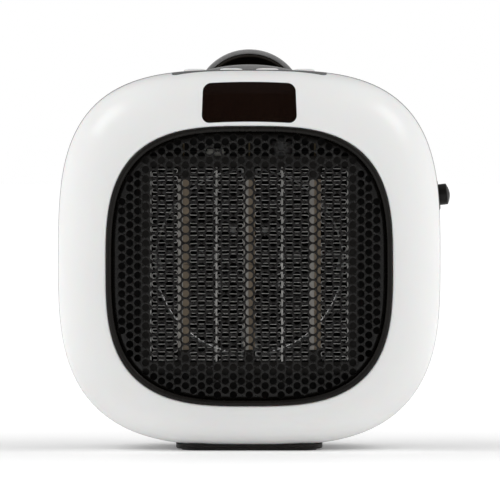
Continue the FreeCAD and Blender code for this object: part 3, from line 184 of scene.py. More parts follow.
def from_faces(name, points, faces):
    mesh = bpy.data.meshes.new(name)
    mesh.from_pydata([tuple(point) for point in points], [], faces)
    return add_object(name, mesh)


def outward(piece):
    """Points all faces of a closed mesh outwards."""
    work = bmesh.new()
    work.from_mesh(piece.data)
    bmesh.ops.recalc_face_normals(work, faces=work.faces)
    work.to_mesh(piece.data)
    work.free()
    return piece


def skin(name, rings, closed=False, start=None, end=None):
    """Mesh over a stack of rings.  closed joins the last ring to the first; start and end are poles."""
    count = len(rings[0])
    points = [point for ring in rings for point in ring]
    faces = []
    for index in range(len(rings) - (0 if closed else 1)):
        low, high = index * count, (index + 1) % len(rings) * count
        for k in range(count):
            n = (k + 1) % count
            faces.append((low + k, low + n, high + n, high + k))
    for pole, base in ((start, 0), (end, (len(rings) - 1) * count)):
        if pole is not None:
            points.append(pole)
            faces += [(base + k, base + (k + 1) % count, len(points) - 1) for k in range(count)]
    return outward(from_faces(name, points, faces))


def prism(name, ring, offset):
    """Closed prism: a ring of points and the same ring moved by an offset."""
    count = len(ring)
    points = list(ring) + [point + offset for point in ring]
    faces = [tuple(range(count)), tuple(range(count, 2 * count))]
    faces += [(k, (k + 1) % count, count + (k + 1) % count, count + k) for k in range(count)]
    return outward(from_faces(name, points, faces))


def lathe(name, profile, place=None, count=64):
    """Turned piece: (radius, height) points about local Z; a radius of 0 is a pole."""
    poles = [Vector((0, 0, height)) if radius == 0 else None
             for radius, height in (profile[0], profile[-1])]
    closed = poles[0] is None
    rings = [[Vector((r * cos(a), r * sin(a), h)) for a in angles(count)]
             for r, h in profile if r > 0]
    piece = skin(name, rings, closed, *poles)
    if place is not None:
        piece.data.transform(place)
    return piece


CORNER_SHARE = 0.45      # part of an edge that the rounding of its corner may take


def rounded(profile, radius, steps=4):
    """Profile with each inner corner replaced by a short arc, as (radius, height) points."""
    result = [profile[0]]
    for before, corner, after in zip(profile, profile[1:], profile[2:]):
        corner = Vector(corner)
        back, ahead = Vector(before) - corner, Vector(after) - corner
        reach = min(radius, back.length * CORNER_SHARE, ahead.length * CORNER_SHARE)
        start, end = corner + back.normalized() * reach, corner + ahead.normalized() * reach
        for index in range(steps + 1):
            share = index / steps
            point = start * (1 - share) ** 2 + corner * 2 * share * (1 - share) + end * share ** 2
            result.append(tuple(point))
    return result + [profile[-1]]


def merged(name, pieces):
    """One object from several."""
    work = bmesh.new()
    for piece in pieces:
        work.from_mesh(piece.data)
    mesh = bpy.data.meshes.new(name)
    work.to_mesh(mesh)
    work.free()
    for piece in pieces:
        drop(piece)
    return add_object(name, mesh)


def drop(piece):
    mesh = piece.data
    bpy.data.objects.remove(piece)
    if mesh.users == 0:
        bpy.data.meshes.remove(mesh)


def baked(piece):
    """Replaces the mesh by what its modifiers make of it."""
    graph = bpy.context.evaluated_depsgraph_get()
    mesh = bpy.data.meshes.new_from_object(piece.evaluated_get(graph))
    old = piece.data
    piece.modifiers.clear()
    piece.data = mesh
    bpy.data.meshes.remove(old)
    return piece


def carve(piece, tool, operation="DIFFERENCE"):
    """Boolean of two closed meshes; the tool is used up."""
    modifier = piece.modifiers.new("carve", "BOOLEAN")
    modifier.operation = operation
    modifier.solver = "EXACT"
    modifier.object = tool
    baked(piece)
    drop(tool)
    return piece


def bevelled(piece, width, segments=2, angle=35):
    modifier = piece.modifiers.new("bevel", "BEVEL")
    modifier.width = width
    modifier.segments = segments
    modifier.limit_method = "ANGLE"
    modifier.angle_limit = radians(angle)
    return baked(piece)


def finished(piece, paint, slot, *nodes, body="heater", angle=32):
    """Shades a piece smooth up to an angle, paints it and fixes it to the frame."""
    piece.data.shade_smooth()
    piece.data.set_sharp_from_angle(angle=radians(angle))
    piece.data.materials.clear()
    piece.data.materials.append(paint.material)
    if nodes:
        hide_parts(*nodes)
    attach(piece, body)


# ---- materials

class Nodes:
    """Adds nodes to a node tree."""

    def __init__(self, tree):
        self.tree = tree

    def feed(self, value, socket):
        if isinstance(value, bpy.types.NodeSocket):
            self.tree.links.new(value, socket)
        else:
            socket.default_value = value

    def node(self, kind, **inputs):
        """Adds a node; each input is a number, a vector or another node's output."""
        made = self.tree.nodes.new("ShaderNode" + kind)
        for key, value in inputs.items():
            self.feed(value, made.inputs[key.replace("_", " ")])
        return made

    def ramp(self, factor, *stops):
        """Colour ramp whose stops are (position, colour)."""
        made = self.node("ValToRGB", Fac=factor)
        elements = made.color_ramp.elements
        while len(elements) < len(stops):
            elements.new(0.5)
        for element, (position, colour) in zip(elements, stops):
            element.position = position
            element.color = (*colour, 1)
        return made.outputs["Color"]


class Paint(Nodes):
    """Builds one material step by step.  A noise is given as its scale in features per metre, its
    detail, its roughness and its stretch."""

    def __init__(self, name, **values):
        self.material = bpy.data.materials.new(name)
        self.material.use_nodes = True
        super().__init__(self.material.node_tree)
        self.inputs = self.tree.nodes["Principled BSDF"].inputs
        self.where = self.node("TexCoord").outputs["Object"]
        for key, value in values.items():
            self.inputs[key.replace("_", " ")].default_value = value

    def noise(self, scale, detail=3, roughness=0.55, stretch=None):
        where = self.node("Mapping", Scale=stretch, Vector=self.where).outputs[0] if stretch else self.where
        return self.node("TexNoise", Scale=scale, Detail=detail, Roughness=roughness,
                         Vector=where).outputs["Fac"]

    def voronoi(self, scale):
        return self.node("TexVoronoi", Scale=scale, Vector=self.where).outputs["Distance"]

    def spread(self, factor, low, high, start=0.3, end=0.7):
        """Maps a factor to a range of numbers."""
        return self.node("MapRange", Value=factor, From_Min=start, From_Max=end,
                         To_Min=low, To_Max=high).outputs["Result"]

    def colour(self, factor, *stops):
        self.feed(self.ramp(factor, *stops), self.inputs["Base Color"])

    def roughness(self, noise, low, high):
        self.feed(self.spread(self.noise(*noise), low, high), self.inputs["Roughness"])

    def coat(self, stains, dark, pale, sheen, low, high, end=0.7):
        """Mottled colour and varying gloss, each after a noise."""
        self.colour(self.noise(*stains), (0.3, dark), (end, pale))
        self.roughness(sheen, low, high)

    def bump(self, height, depth, strength=1):
        """Adds a bump from a noise or an output; depth is the metres that a factor of 1 means."""
        normal = self.inputs["Normal"]
        if isinstance(height, tuple):
            height = self.noise(*height)
        made = self.node("Bump", Strength=strength, Distance=depth, Height=height)
        if normal.is_linked:
            self.feed(normal.links[0].from_socket, made.inputs["Normal"])
        self.feed(made.outputs["Normal"], normal)
        return self


def tone(grey, warm=0.0):
    """A grey, made a little warmer or colder."""
    return (grey * (1 + warm), grey, grey * (1 - warm))


def white_plastic():
    """Satin white moulding with a very fine texture and faint moulding marks."""
    paint = Paint("white_gloss_plastic", Coat_Weight=0.25, Coat_Roughness=0.12, IOR=1.5,
                  Subsurface_Weight=0.12, Subsurface_Scale=0.004)
    paint.coat((14, 2), (0.805, 0.803, 0.795), (0.83, 0.828, 0.82), (60, 4), 0.30, 0.40)
    paint.bump((2600, 2), 0.000012)
    return paint.bump((35, 1), 0.00012)


def grey_plastic(name="grey_textured_plastic", low=0.265, high=0.315):
    """Grey moulding with a spark-eroded texture."""
    paint = Paint(name, IOR=1.47)
    paint.coat((900, 3), tone(low, 0.004), tone(high, 0.004), (120, 4), 0.36, 0.50)
    paint.bump(paint.voronoi(1900), 0.00004, 0.8)
    return paint.bump((30, 1), 0.00010)


def black_plastic(name="black_textured_plastic", grey=0.006, low=0.38, high=0.52, grain=1500):
    """Black moulding with a fine grain and scuffed patches."""
    paint = Paint(name, IOR=1.47, Specular_IOR_Level=0.22)
    paint.coat((80, 5), tone(grey * 0.8, 0.22), tone(grey * 1.3, 0.22), (160, 4), low, high, 0.75)
    return paint.bump(paint.voronoi(grain), 0.00003, 0.8)


def gloss_black(name="gloss_black_trim", grey=0.0045):
    """Polished black moulding with hairline scratches and a little waviness."""
    paint = Paint(name, IOR=1.5, Specular_IOR_Level=0.16)
    paint.coat((50, 4), tone(grey * 0.8, 0.2), tone(grey * 1.25, 0.2),
               (260, 5, 0.55, (1, 1, 0.15)), 0.24, 0.36)
    return paint.bump((1800, 2), 0.000012)


def powder_black():
    """Semi-matte black powder coat on steel, with orange peel."""
    paint = Paint("black_powder_coat", IOR=1.5, Specular_IOR_Level=0.26)
    paint.coat((220, 5), tone(0.0012, 0.25), tone(0.003, 0.25), (400, 3), 0.20, 0.30, 0.75)
    return paint.bump((1100, 2), 0.00004)


def smoked_glass():
    """Nearly black brown smoked acrylic, polished in front."""
    paint = Paint("smoked_acrylic", IOR=1.14, Roughness=0.06, Transmission_Weight=0.9)
    paint.colour(paint.noise(40, 2), (0.3, (0.058, 0.027, 0.017)), (0.7, (0.070, 0.033, 0.021)))
    return paint.bump((90, 2), 0.00002)


def metal(name, colour, low, high, stretch=None):
    """Bare metal with rolling or brushing marks and stains."""
    paint = Paint(name, Metallic=1)
    stained = 0.74
    dark = tuple(channel * stained for channel in colour)
    paint.colour(paint.noise(90, 5), (0.25, dark), (0.7, colour))
    paint.roughness((500, 4, 0.55, stretch), low, high)
    return paint.bump((1000, 2, 0.55, stretch), 0.00001)


def ceramic(name, pale, dark):
    """Matte unglazed ceramic with fine pores and a mottled tone."""
    paint = Paint(name, IOR=1.5)
    paint.coat((130, 6, 0.65), dark, pale, (500, 3), 0.62, 0.85)
    return paint.bump(paint.voronoi(1400), 0.00005, 0.7)


def rubber():
    """Matte black rubber with dust and a fine grain."""
    paint = Paint("foot_rubber", IOR=1.45)
    paint.colour(paint.noise(150, 6), (0.35, tone(0.013)), (0.8, tone(0.032, 0.03)))
    paint.roughness((300, 3), 0.70, 0.92)
    return paint.bump((900, 4), 0.00006)


def circuit_board():
    """Green solder mask over faint tracks."""
    paint = Paint("green_solder_mask", IOR=1.5, Coat_Weight=0.3, Coat_Roughness=0.2)
    tracks = paint.noise(240, 1, stretch=(1, 0.25, 1))
    dark, pale = (0.010, 0.060, 0.022), (0.020, 0.100, 0.040)
    paint.colour(tracks, (0.44, dark), (0.47, pale), (0.53, pale), (0.56, dark))
    paint.roughness((500, 3), 0.28, 0.45)
    return paint.bump(tracks, 0.00003)


def moulded(name, pale, dark):
    """Plain moulded plastic of a component, with a fine texture."""
    paint = Paint(name, IOR=1.47)
    paint.coat((140, 5), dark, pale, (300, 3), 0.4, 0.55)
    return paint.bump((1600, 2), 0.00002)


WHITE = white_plastic()
GREY = grey_plastic()
# Darker copy of the grey plastic for the control panel: partly the panel's own darker grey, partly painted
# shade of the gap round it.
PANEL_GREY_AND_SHADE = grey_plastic("panel_grey_plastic_and_shade", 0.10, 0.125)
BLACK = black_plastic()
TRIM_BLACK = gloss_black()
LINER_BLACK = black_plastic("liner_black_plastic", 0.018)
SWITCH_BLACK = black_plastic("switch_black_plastic", 0.0035, 0.30, 0.42, 2200.0)
COAT_BLACK = powder_black()
SMOKED = smoked_glass()
DISPLAY_BLACK = gloss_black("display_black_plastic", 0.004)
ALUMINIUM = metal("mill_aluminium", (0.62, 0.61, 0.59), 0.34, 0.55, (1.0, 0.12, 1.0))
ELECTRODE = metal("electrode_aluminium", (0.50, 0.48, 0.45), 0.50, 0.68, (1.0, 1.0, 0.15))
STEEL = metal("zinc_plated_steel", (0.56, 0.56, 0.57), 0.26, 0.42, (1.0, 1.0, 0.2))
# Steel darkened to near black as painted shade: the cut-out sits in the dark inside of the casing.
STEEL_IN_PAINTED_SHADE = metal("steel_in_painted_shade", (0.10, 0.10, 0.10), 0.5, 0.7)
SCREW = metal("screw_steel", (0.42, 0.42, 0.43), 0.28, 0.45)
# Brass darkened to near black as painted shade of the dark inside of the casing.
BRASS_IN_PAINTED_SHADE = metal("terminal_brass", (0.10, 0.08, 0.05), 0.40, 0.60)
STONE = ceramic("ptc_ceramic", (0.27, 0.215, 0.15), (0.20, 0.16, 0.115))
PORCELAIN = ceramic("white_porcelain", (0.72, 0.70, 0.65), (0.62, 0.60, 0.55))
RUBBER = rubber()
BOARD = circuit_board()
BLUE_PLASTIC = moulded("component_blue_plastic", (0.035, 0.055, 0.16), (0.02, 0.035, 0.11))
CREAM_PLASTIC = moulded("component_cream_plastic", (0.62, 0.60, 0.54), (0.52, 0.50, 0.45))


# ---- casing

def corner_arc(x, y, radius, start, steps):
    """Quarter turn that rounds the corner (x, y), from a starting angle in degrees."""
    centre_x = x - radius if start in (0, 270) else x + radius
    centre_y = y - radius if start in (0, 90) else y + radius
    return [(centre_x + radius * cos(turn), centre_y + radius * sin(turn))
            for turn in arc_steps(start, start + 90, steps)]


def window_ring(grow, y):
    """Outline of the display window: arched long edges, leaning ends, round corners."""
    half, low, high, arch, lean, corner = mm(25.8, 178.4, 200.1, 0.9, 0.5, 4.4)
    half, low, high, corner = half + grow, low - grow, high + grow, corner + grow
    points, steps = [], 16
    for x, z, start in ((half - lean, high, 0), (lean - half, high, 90),
                        (-half, low, 180), (half, low, 270)):
        points += corner_arc(x, z, corner, start, 10)
        if start in (0, 180):
            sign = 1 if start == 0 else -1
            points += [(sign * (half - corner) * (1 - 2 * k / steps), z) for k in range(1, steps)]
    return [Vector((x, y, z + arch * (1 - (x / half) ** 2))) for x, z in points]


def panel_ring(grow, z):
    """Outline of the control panel seen from above: hollow front edge, round corners."""
    half, middle, front, rear, radius = mm(42, -41, -47, 5, 3)
    half, middle, front, rear, radius = half + grow, middle - grow, front - grow, rear + grow, radius + grow
    points, steps = [], 24
    for x, y, start in ((half, rear, 0), (-half, rear, 90), (-half, front, 180), (half, front, 270)):
        points += corner_arc(x, y, radius, start, 8)
        if start == 180:
            points += [((half - radius) * (2 * k / steps - 1), front) for k in range(1, steps)]
    hollow, bend_from = middle - front, rear - 40 * MM
    return [Vector((x, y + (hollow * (1 - (x / half) ** 2) if y < bend_from else 0), z)) for x, y in points]


def tub_ring(grow, z):
    """Outline of the finger tub seen from above: square in front, half an ellipse behind."""
    half, front, middle, length, radius = mm(21, 8, 17, 28, 5)
    half, front, length, radius = half + grow, front - grow, length + grow, radius + grow
    points = [(half * cos(turn), middle + length * sin(turn)) for turn in arc_steps(0, 180, 40)]
    points += corner_arc(-half, front, radius, 180, 8) + corner_arc(half, front, radius, 270, 8)
    return [Vector((x, y, z)) for x, y in points]


def window_tool(grow):
    return prism("window_tool", window_ring(grow, -80 * MM), Vector((0, 35 * MM, 0)))


def panel_tool(grow):
    return prism("panel_tool", panel_ring(grow, 190 * MM), Vector((0, 0, 30 * MM)))


def tub_tool(grow, low, high):
    return prism("tub_tool", tub_ring(grow, low), Vector((0, 0, high - low)))


def outer_solid(name="outer_solid", inset=0.0):
    """Closed solid under the casing's whole outer surface, or under a surface inset from it."""
    front = dome_rings(inset)[::-1]
    rings = front + rear_rings(inset)[1:]
    nose = Vector((0, rings[0][0].y, OPEN_Z))
    tail = Vector((0, rings[-1][0].y, CENTRE_Z))
    return skin(name, rings, False, nose, tail)


def bezel_shell(name, thickness):
    """Closed shell of the bezel: outer surface, rounded inner rim and inner surface."""
    outer = dome_rings(0.0, seam=SEAM)
    rim = [loop(lambda a, g=RIM * (1 - sin(turn)): opening_point(a, g),
                bezel_low.y + RIM * (1 - cos(turn))) for turn in arc_steps(15, 90, 5)]
    inner = dome_rings(thickness, 0.0)[::-1]
    return skin(name, outer + rim + inner, True)


def front_bezel():
    shell = bezel_shell("bezel_shell", WALL)
    carve(shell, window_tool(0.0))
    carve(shell, panel_tool(PANEL_GAP))
    finished(shell, WHITE, "white_shell", "front_bezel")


def well_places():
    return [(sx * WELL_X, CENTRE_Z + sz * WELL_Z) for sx in (-1, 1) for sz in (-1, 1)]


def backward(x, y, z):
    """Turns a piece made about local Z into one that points back along +Y from a place."""
    return Matrix.Translation((x, y, z)) @ Matrix.Rotation(-pi / 2, 4, "X")


def rod(name, radius, length, place, count=48):
    return lathe(name, [(0, 0), (radius, 0), (radius, length), (0, length)], place, count)


SWITCH_LEAN = radians(6.5)
SWITCH_PLACE = (Matrix.Translation(mm(103.2, -8, 138.9))
                @ Matrix.Rotation(pi / 2 - SWITCH_LEAN, 4, "Y"))


def grip_ridge():
    """Low arched ridge in front of the finger tub, rounded along its crest."""
    half, top, foot, front, back, edge = mm(26, 210.6, 206.81, 5.4, 7.7, 1)
    radius = (half ** 2 + (top - foot) ** 2) / (2 * (top - foot))
    spread = degrees(asin(half / radius))
    start = 0.3 * edge
    rings = []
    for y, shrink in ((front, edge), (front + start, start), (front + edge, 0),
                      (back - edge, 0), (back - start, start), (back, edge)):
        reach = radius - shrink
        arch = [Vector((reach * sin(turn), y, top - radius + reach * cos(turn)))
                for turn in arc_steps(-spread, spread, 60)]
        rings.append(arch + [Vector((half * side, y, foot - edge)) for side in (1, -1)])
    return skin("ridge", rings, False, Vector((0, front, foot)), Vector((0, back, foot)))


def housing_tools():
    """Cutters of the intake's seat, the holes of gland, switch and tub, and the well bores."""
    intake, ledge, gap, seat, deep = mm(52, 3, 0.2, 8.9, 30)
    tools = [
        lathe("grille_seat", [(0, 0), (intake - ledge, 0), (intake - ledge, seat), (intake + gap, seat),
                              (intake + gap, deep), (0, deep)],
              backward(0, REAR_Y - 12 * MM, CORE_Z), 128),
        rod("gland_seat", 6.1 * MM, 40 * MM, backward(47 * MM, REAR_Y - 20 * MM, 52 * MM)),
        lathe("switch_seat", in_mm((0, -15), (7, -15), (7, 0.01), (8.4, 0.01), (8.4, 20), (0, 20)),
              SWITCH_PLACE),
        tub_tool(0.3 * MM, 180 * MM, 240 * MM),
    ]
    return tools + [rod("well_bore", WELL_BORE, 120 * MM, backward(x, WELL_SEAT, z))
                    for x, z in well_places()]


def rear_housing():
    """Grey rear shell with screw wells and the seats of grille, gland, switch, panel and tub."""
    outer, inner = rear_rings(0.0), rear_rings(WALL)
    tail = Vector((0, outer[-1][0].y, CENTRE_Z))
    inner_tail = Vector((0, inner[-1][0].y, CENTRE_Z))
    shell = skin("housing_shell", outer[::-1] + inner, False, tail, inner_tail)
    wells = merged("wells", [rod("well", WELL_RADIUS, 90 * MM, backward(x, -22 * MM, z))
                             for x, z in well_places()])
    carve(shell, carve(wells, outer_solid(), "INTERSECT"), "UNION")
    carve(shell, grip_ridge(), "UNION")
    for tool in housing_tools():
        carve(shell, tool)
    carve(shell, panel_tool(PANEL_GAP))
    finished(shell, GREY, "grey_shell", "rear_housing")


def trim_ring():
    """Black bead round the opening, with a rebate for the sheet and a flange notched for the display."""
    flange_front, flange_back, edge, rebate, lap, corner = mm(-62, -60, 0.15, 1.5, 0.02, 1.4)
    seat = GRILLE_Y - lap
    bead = rounded([(-edge, flange_front), (-edge, TRIM_FRONT), (-TRIM_WIDTH, TRIM_FRONT),
                    (-TRIM_WIDTH, seat)], corner, 7)
    profile = bead + [(-rebate, seat), (-rebate, flange_back),
                      (TRIM_FLANGE, flange_back), (TRIM_FLANGE, flange_front)]
    rings = [loop(lambda a, g=grow: opening_point(a, g), y) for grow, y in profile]
    ring = skin("opening_trim", rings, True)
    notch = prism("notch", window_ring(1 * MM, flange_front - 0.05 * MM), Vector((0, 3 * MM, 0)))
    carve(ring, notch)
    finished(ring, TRIM_BLACK, "black_trim", "trim_ring", angle=40)


def display_lens():
    """Smoked lens, flush with the bezel's dome and softly rounded at its edge."""
    shell = carve(bezel_shell("lens", 2.0 * MM), window_tool(-PANEL_GAP), "INTERSECT")
    bevelled(shell, 0.35 * MM, 3, 50)
    finished(shell, SMOKED, "smoked_lens", "display_lens", angle=40)


# ---- perforated sheet

def opening_distance(x, z):
    """Distance of a place inside the opening from the sheet's edge, along the ray from the middle."""
    angle = atan2(z - OPEN_Z, x)
    edge_x, edge_z = opening_point(angle, -SHEET_INSET)
    return hypot(edge_x, edge_z - OPEN_Z) - hypot(x, z - OPEN_Z)


def hole_centres():
    """Staggered upright columns of holes inside the plain border."""
    column = HOLE_PITCH * sqrt(3) / 2
    reach = int(OPEN_HALF_WIDTH / column) + 1
    for i in range(-reach, reach + 1):
        for j in range(-reach, reach + 1):
            x = i * column
            z = OPEN_Z + (j + 0.5 * (i % 2)) * HOLE_PITCH
            if opening_distance(x, z) >= GRILLE_BORDER:
                yield x, z


def flat_sheet(centres):
    """Points and triangles of the flat sheet: its outline, round holes and a few rows along its edge."""
    points, edges = [], []
    steps, sides, rows, row_gap, clear = 240, 24, 8, 0.62 * MM, HOLE_RADIUS + 0.15 * MM

    def add_loop(places):
        first = len(points)
        points.extend(Vector(place) for place in places)
        edges.extend((first + k, first + (k + 1) % len(places)) for k in range(len(places)))

    add_loop([opening_point(angle, -SHEET_INSET) for angle in angles(steps)])
    for x, z in centres:
        add_loop([(x + HOLE_RADIUS * cos(a), z + HOLE_RADIUS * sin(a)) for a in angles(sides)])
    for row in range(1, rows + 1):
        for angle in angles(steps):
            x, z = opening_point(angle, -SHEET_INSET - row * row_gap)
            if all(hypot(cx - x, cz - z) >= clear for cx, cz in centres):
                points.append(Vector((x, z)))
    flat, _, faces = delaunay_2d_cdt(points, edges, [], 1, 1e-7)[:3]
    return flat, faces


def hole_test(centres):
    """Function that says whether a place lies inside one of the holes."""
    def cell(x, z):
        return round(x / HOLE_PITCH), round(z / HOLE_PITCH)

    lattice = {}
    for x, z in centres:
        lattice.setdefault(cell(x, z), []).append((x, z))
    reach = HOLE_RADIUS * 0.97

    def in_hole(x, z):
        column, row = cell(x, z)
        return any(hypot(cx - x, cz - z) < reach for dx in (-1, 0, 1) for dz in (-1, 0, 1)
                   for cx, cz in lattice.get((column + dx, row + dz), ()))
    return in_hole


def sheet_depth(x, z):
    """Depth of the sheet's front, which rolls back near its edge."""
    share = max(0.0, 1 - opening_distance(x, z) / ROLL_START)
    return GRILLE_Y + ROLL_DEPTH * share ** 2


def front_grille():
    """Steel sheet with round holes, rolled back at its edge and rounded at every hole."""
    centres = list(hole_centres())
    flat, faces = flat_sheet(centres)
    in_hole = hole_test(centres)
    sheet = bmesh.new()
    corners = [sheet.verts.new((point.x, sheet_depth(point.x, point.y), point.y)) for point in flat]
    for face in faces:
        x, z = (sum(flat[k][axis] for k in face) / len(face) for axis in (0, 1))
        if not in_hole(x, z):
            sheet.faces.new([corners[k] for k in face])
    bmesh.ops.delete(sheet, geom=[v for v in sheet.verts if not v.link_faces], context="VERTS")
    bmesh.ops.recalc_face_normals(sheet, faces=sheet.faces)
    if sum(face.normal.y for face in sheet.faces) > 0:
        bmesh.ops.reverse_faces(sheet, faces=sheet.faces)
    rim = [edge for edge in sheet.edges if edge.is_boundary]
    walls = bmesh.ops.extrude_face_region(sheet, geom=list(sheet.faces) + rim, use_keep_orig=True)
    moved = [item for item in walls["geom"] if isinstance(item, bmesh.types.BMVert)]
    bmesh.ops.translate(sheet, verts=moved, vec=(0, GRILLE_SHEET, 0))
    bmesh.ops.recalc_face_normals(sheet, faces=sheet.faces)
    mesh = bpy.data.meshes.new("perforated_sheet")
    sheet.to_mesh(mesh)
    sheet.free()
    piece = add_object("perforated_sheet", mesh)
    bevelled(piece, 0.28 * MM, 3, 50)
    finished(piece, COAT_BLACK, "black_steel", "front_grille", angle=50)


# ---- top: panel, buttons, grip

BUTTON_Y = -34.5 * MM
CAP_SINK = 0.4 * MM      # how far the visible tops lie below the CAD's
BUTTONS = ("power_button", "mode_button", "warmer_button", "cooler_button")


def ellipse_ring(x, y, half_x, half_y, z, count=64):
    return [Vector((x + half_x * cos(a), y + half_y * sin(a), z)) for a in angles(count)]


def control_panel():
    """Grey insert that follows the casing's top, with four oval holes."""
    slab = carve(outer_solid("panel"), panel_tool(0.0), "INTERSECT")
    carve(slab, outer_solid("panel_core", 2.2 * MM))
    for name in BUTTONS:
        ring = ellipse_ring(middle_of(name).x, BUTTON_Y, *mm(6.5, 4.3, 195))
        carve(slab, prism("hole", ring, Vector((0, 0, 25 * MM))))
    # The panel's grey is darkened partly as painted shade of its gap.
    finished(slab, PANEL_GREY_AND_SHADE, "grey_shell", "control_panel")


def top_button(name):
    """Oval key with a softly crowned top, a collar under the panel and a stem."""
    low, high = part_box(name)
    x = middle_of(name).x
    half_x, half_y, stem, collar, thick, edge, crown_x, crown_z = mm(6.2, 4, 1.5, 0.8, 1, 1.15, 1.1, 0.85)
    top, side = high.z - CAP_SINK, high.z - 4.1 * MM
    profile = [(stem - half_y, low.z), (stem - half_y, side - thick), (collar, side - thick),
               (collar, side), (0.0, side), (0.0, top - edge)]
    profile += [(-crown_x * (1 - cos(turn)), top - edge + crown_z * sin(turn))
                for turn in arc_steps(12, 78, 6)]
    profile += [(-grow, top - drop_by) for grow, drop_by in in_mm((1.6, 0.20), (2.3, 0.08), (3.1, 0.02))]
    rings = [ellipse_ring(x, BUTTON_Y, max(half_x + grow, stem), half_y + grow, z) for grow, z in profile]
    piece = skin(name + "_cap", rings, False, Vector((x, BUTTON_Y, low.z)), Vector((x, BUTTON_Y, top)))
    finished(piece, WHITE, "white_button", name, body=name.replace("_button", "_key"), angle=40)


def ellipsoid_rings(shrink, front):
    """Rings of the grip's rounded form from its front edge back to the pole, and the pole."""
    centre = Vector(mm(0, 17, 190))
    half_x, half_y, half_z = (size - shrink for size in mm(30, 34, 29))
    start = asin((front - centre.y) / half_y)
    count, crowding = 36, 1.15
    rings = []
    for index in range(count):
        turn = start + (pi / 2 - start) * (index / count) ** crowding
        reach, y = cos(turn), centre.y + half_y * sin(turn)
        rings.append([Vector((half_x * reach * cos(a), y, centre.z + half_z * reach * sin(a)))
                      for a in angles(128)])
    return rings, Vector((0, centre.y + half_y, centre.z))


def hood_shell(name, outer_shrink, inner_shrink, front, rim):
    """Closed half-ellipsoid shell whose front edge is rounded off."""
    outer, outer_pole = ellipsoid_rings(outer_shrink, front)
    inner, inner_pole = ellipsoid_rings(inner_shrink, front)
    lip = []
    for turn in arc_steps(0, 180, 8):
        share = (1 - cos(turn)) / 2
        lip.append([a.lerp(b, share) - Vector((0, rim * sin(turn), 0))
                    for a, b in zip(outer[0], inner[0])])
    return skin(name, outer[:0:-1] + lip + inner[1:], False, outer_pole, inner_pole)


def grip_hood():
    """Hood over the finger tub, its foot cut to the casing."""
    hood = hood_shell("hood", *mm(0, 2.5, 17.4, 0.35))
    carve(hood, outer_solid())
    keep_highest(hood)
    finished(hood, GREY, "grey_shell", "grip_hood")


def keep_highest(piece):
    """Removes all but the part of the mesh that reaches highest."""
    work = bmesh.new()
    work.from_mesh(piece.data)
    left = set(work.verts)
    best, peak = [], -inf
    while left:
        stack, part = [left.pop()], []
        while stack:
            vert = stack.pop()
            part.append(vert)
            for edge in vert.link_edges:
                other = edge.other_vert(vert)
                if other in left:
                    left.discard(other)
                    stack.append(other)
        top = max(vert.co.z for vert in part)
        if top > peak:
            best, peak = part, top
    kept = set(best)
    bmesh.ops.delete(work, geom=[v for v in work.verts if v not in kept], context="VERTS")
    work.to_mesh(piece.data)
    work.free()


def grip_liner():
    """Black tub for the fingertips and the lining of the hood, in one piece."""
    lining = carve(hood_shell("lining", *mm(2.7, 4.3, 18.1, 0.5)), outer_solid())
    keep_highest(lining)
    floor, above, wall, corner, middle_y = mm(187, 240, 1.6, 3, 20)
    tub = carve(tub_tool(0.0, floor, above), outer_solid(), "INTERSECT")
    rings = [tub_ring(-wall - corner * (1 - sin(turn)), floor + wall + corner * (1 - cos(turn)))
             for turn in arc_steps(0, 90, 6)]
    above += 1 * MM
    rings.append(tub_ring(-wall, above))
    carve(tub, skin("tub_space", rings, False, Vector((0, middle_y, floor + wall)),
                    Vector((0, middle_y, above))))
    tub.name = "finger_tub_liner"
    carve(tub, lining, "UNION")
    finished(tub, LINER_BLACK, "black_plastic", "grip_liner")


# ---- base

FOOT_WIDTH, FOOT_CORNER = 6 * MM, 12 * MM


def rounded_rectangle(half_x, half_y, radius, z):
    points = []
    for sx, sy, start in ((1, 1, 0), (-1, 1, 90), (-1, -1, 180), (1, -1, 270)):
        points += corner_arc(sx * half_x, sy * half_y, radius, start, 12)
    return [Vector((x, y, z)) for x, y in points]


def base_plinth():
    """Black plinth under the belly, with a rounded lower edge, the foot's groove and screw recesses."""
    low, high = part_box("base_plinth")
    corner = 15 * MM
    rings = [rounded_rectangle(high.x - grow, high.y - grow, corner - grow, low.z + lift)
             for grow, lift in in_mm((6, 0), (1.2, 0), (0.6, 0.15), (0.15, 0.6), (0, 1.2), (0, 26))]
    block = skin("plinth", rings, False, Vector((0, 0, low.z)), Vector((0, 0, rings[-1][0].z)))
    carve(block, outer_solid("belly", -0.15 * MM))
    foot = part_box("rubber_foot_ring")[1]
    gap, below = 0.1 * MM, -1 * MM
    groove = [rounded_rectangle(foot.x + grow, foot.y + grow, FOOT_CORNER + grow, z)
              for grow, z in ((gap, below), (gap, foot.z), (-FOOT_WIDTH - gap, foot.z),
                              (-FOOT_WIDTH - gap, below))]
    carve(block, skin("groove", groove, True))
    for x in (-SCREW_X, SCREW_X):
        carve(block, lathe("recess", in_mm((0, -2), (3.2, -2), (3.2, 2.6), (0, 2.6)),
                           Matrix.Translation((x, BASE_SCREW_Y, 0))))
    finished(block, BLACK, "black_plastic", "base_plinth")


def rubber_foot_ring():
    """Rubber band with a ribbed, rounded tread."""
    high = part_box("rubber_foot_ring")[1]
    edge, pitch, rib_end, slope, groove_end = mm(0.4, 1.8, 1.2, 0.35, 1.65)
    tread = [(0, high.z), (0, edge), (-edge, 0)]
    for start in (-edge, -edge - pitch):
        tread += [(start - rib_end, 0), (start - 1.35 * MM, slope), (start - groove_end, slope),
                  (start - pitch, 0)]
    tread += [(-FOOT_WIDTH + edge, 0), (-FOOT_WIDTH, edge), (-FOOT_WIDTH, high.z)]
    rings = [rounded_rectangle(high.x + grow, high.y + grow, FOOT_CORNER + grow, z) for grow, z in tread]
    finished(skin("foot_band", rings, True), RUBBER, "foot_rubber", "rubber_foot_ring")


# ---- heating core

FOLD = 2.12 * MM
STRIP_HALF = 0.15 * MM


def uneven(reach):
    """Random offset of up to so many millimetres either way."""
    return rng.uniform(-reach, reach) * MM


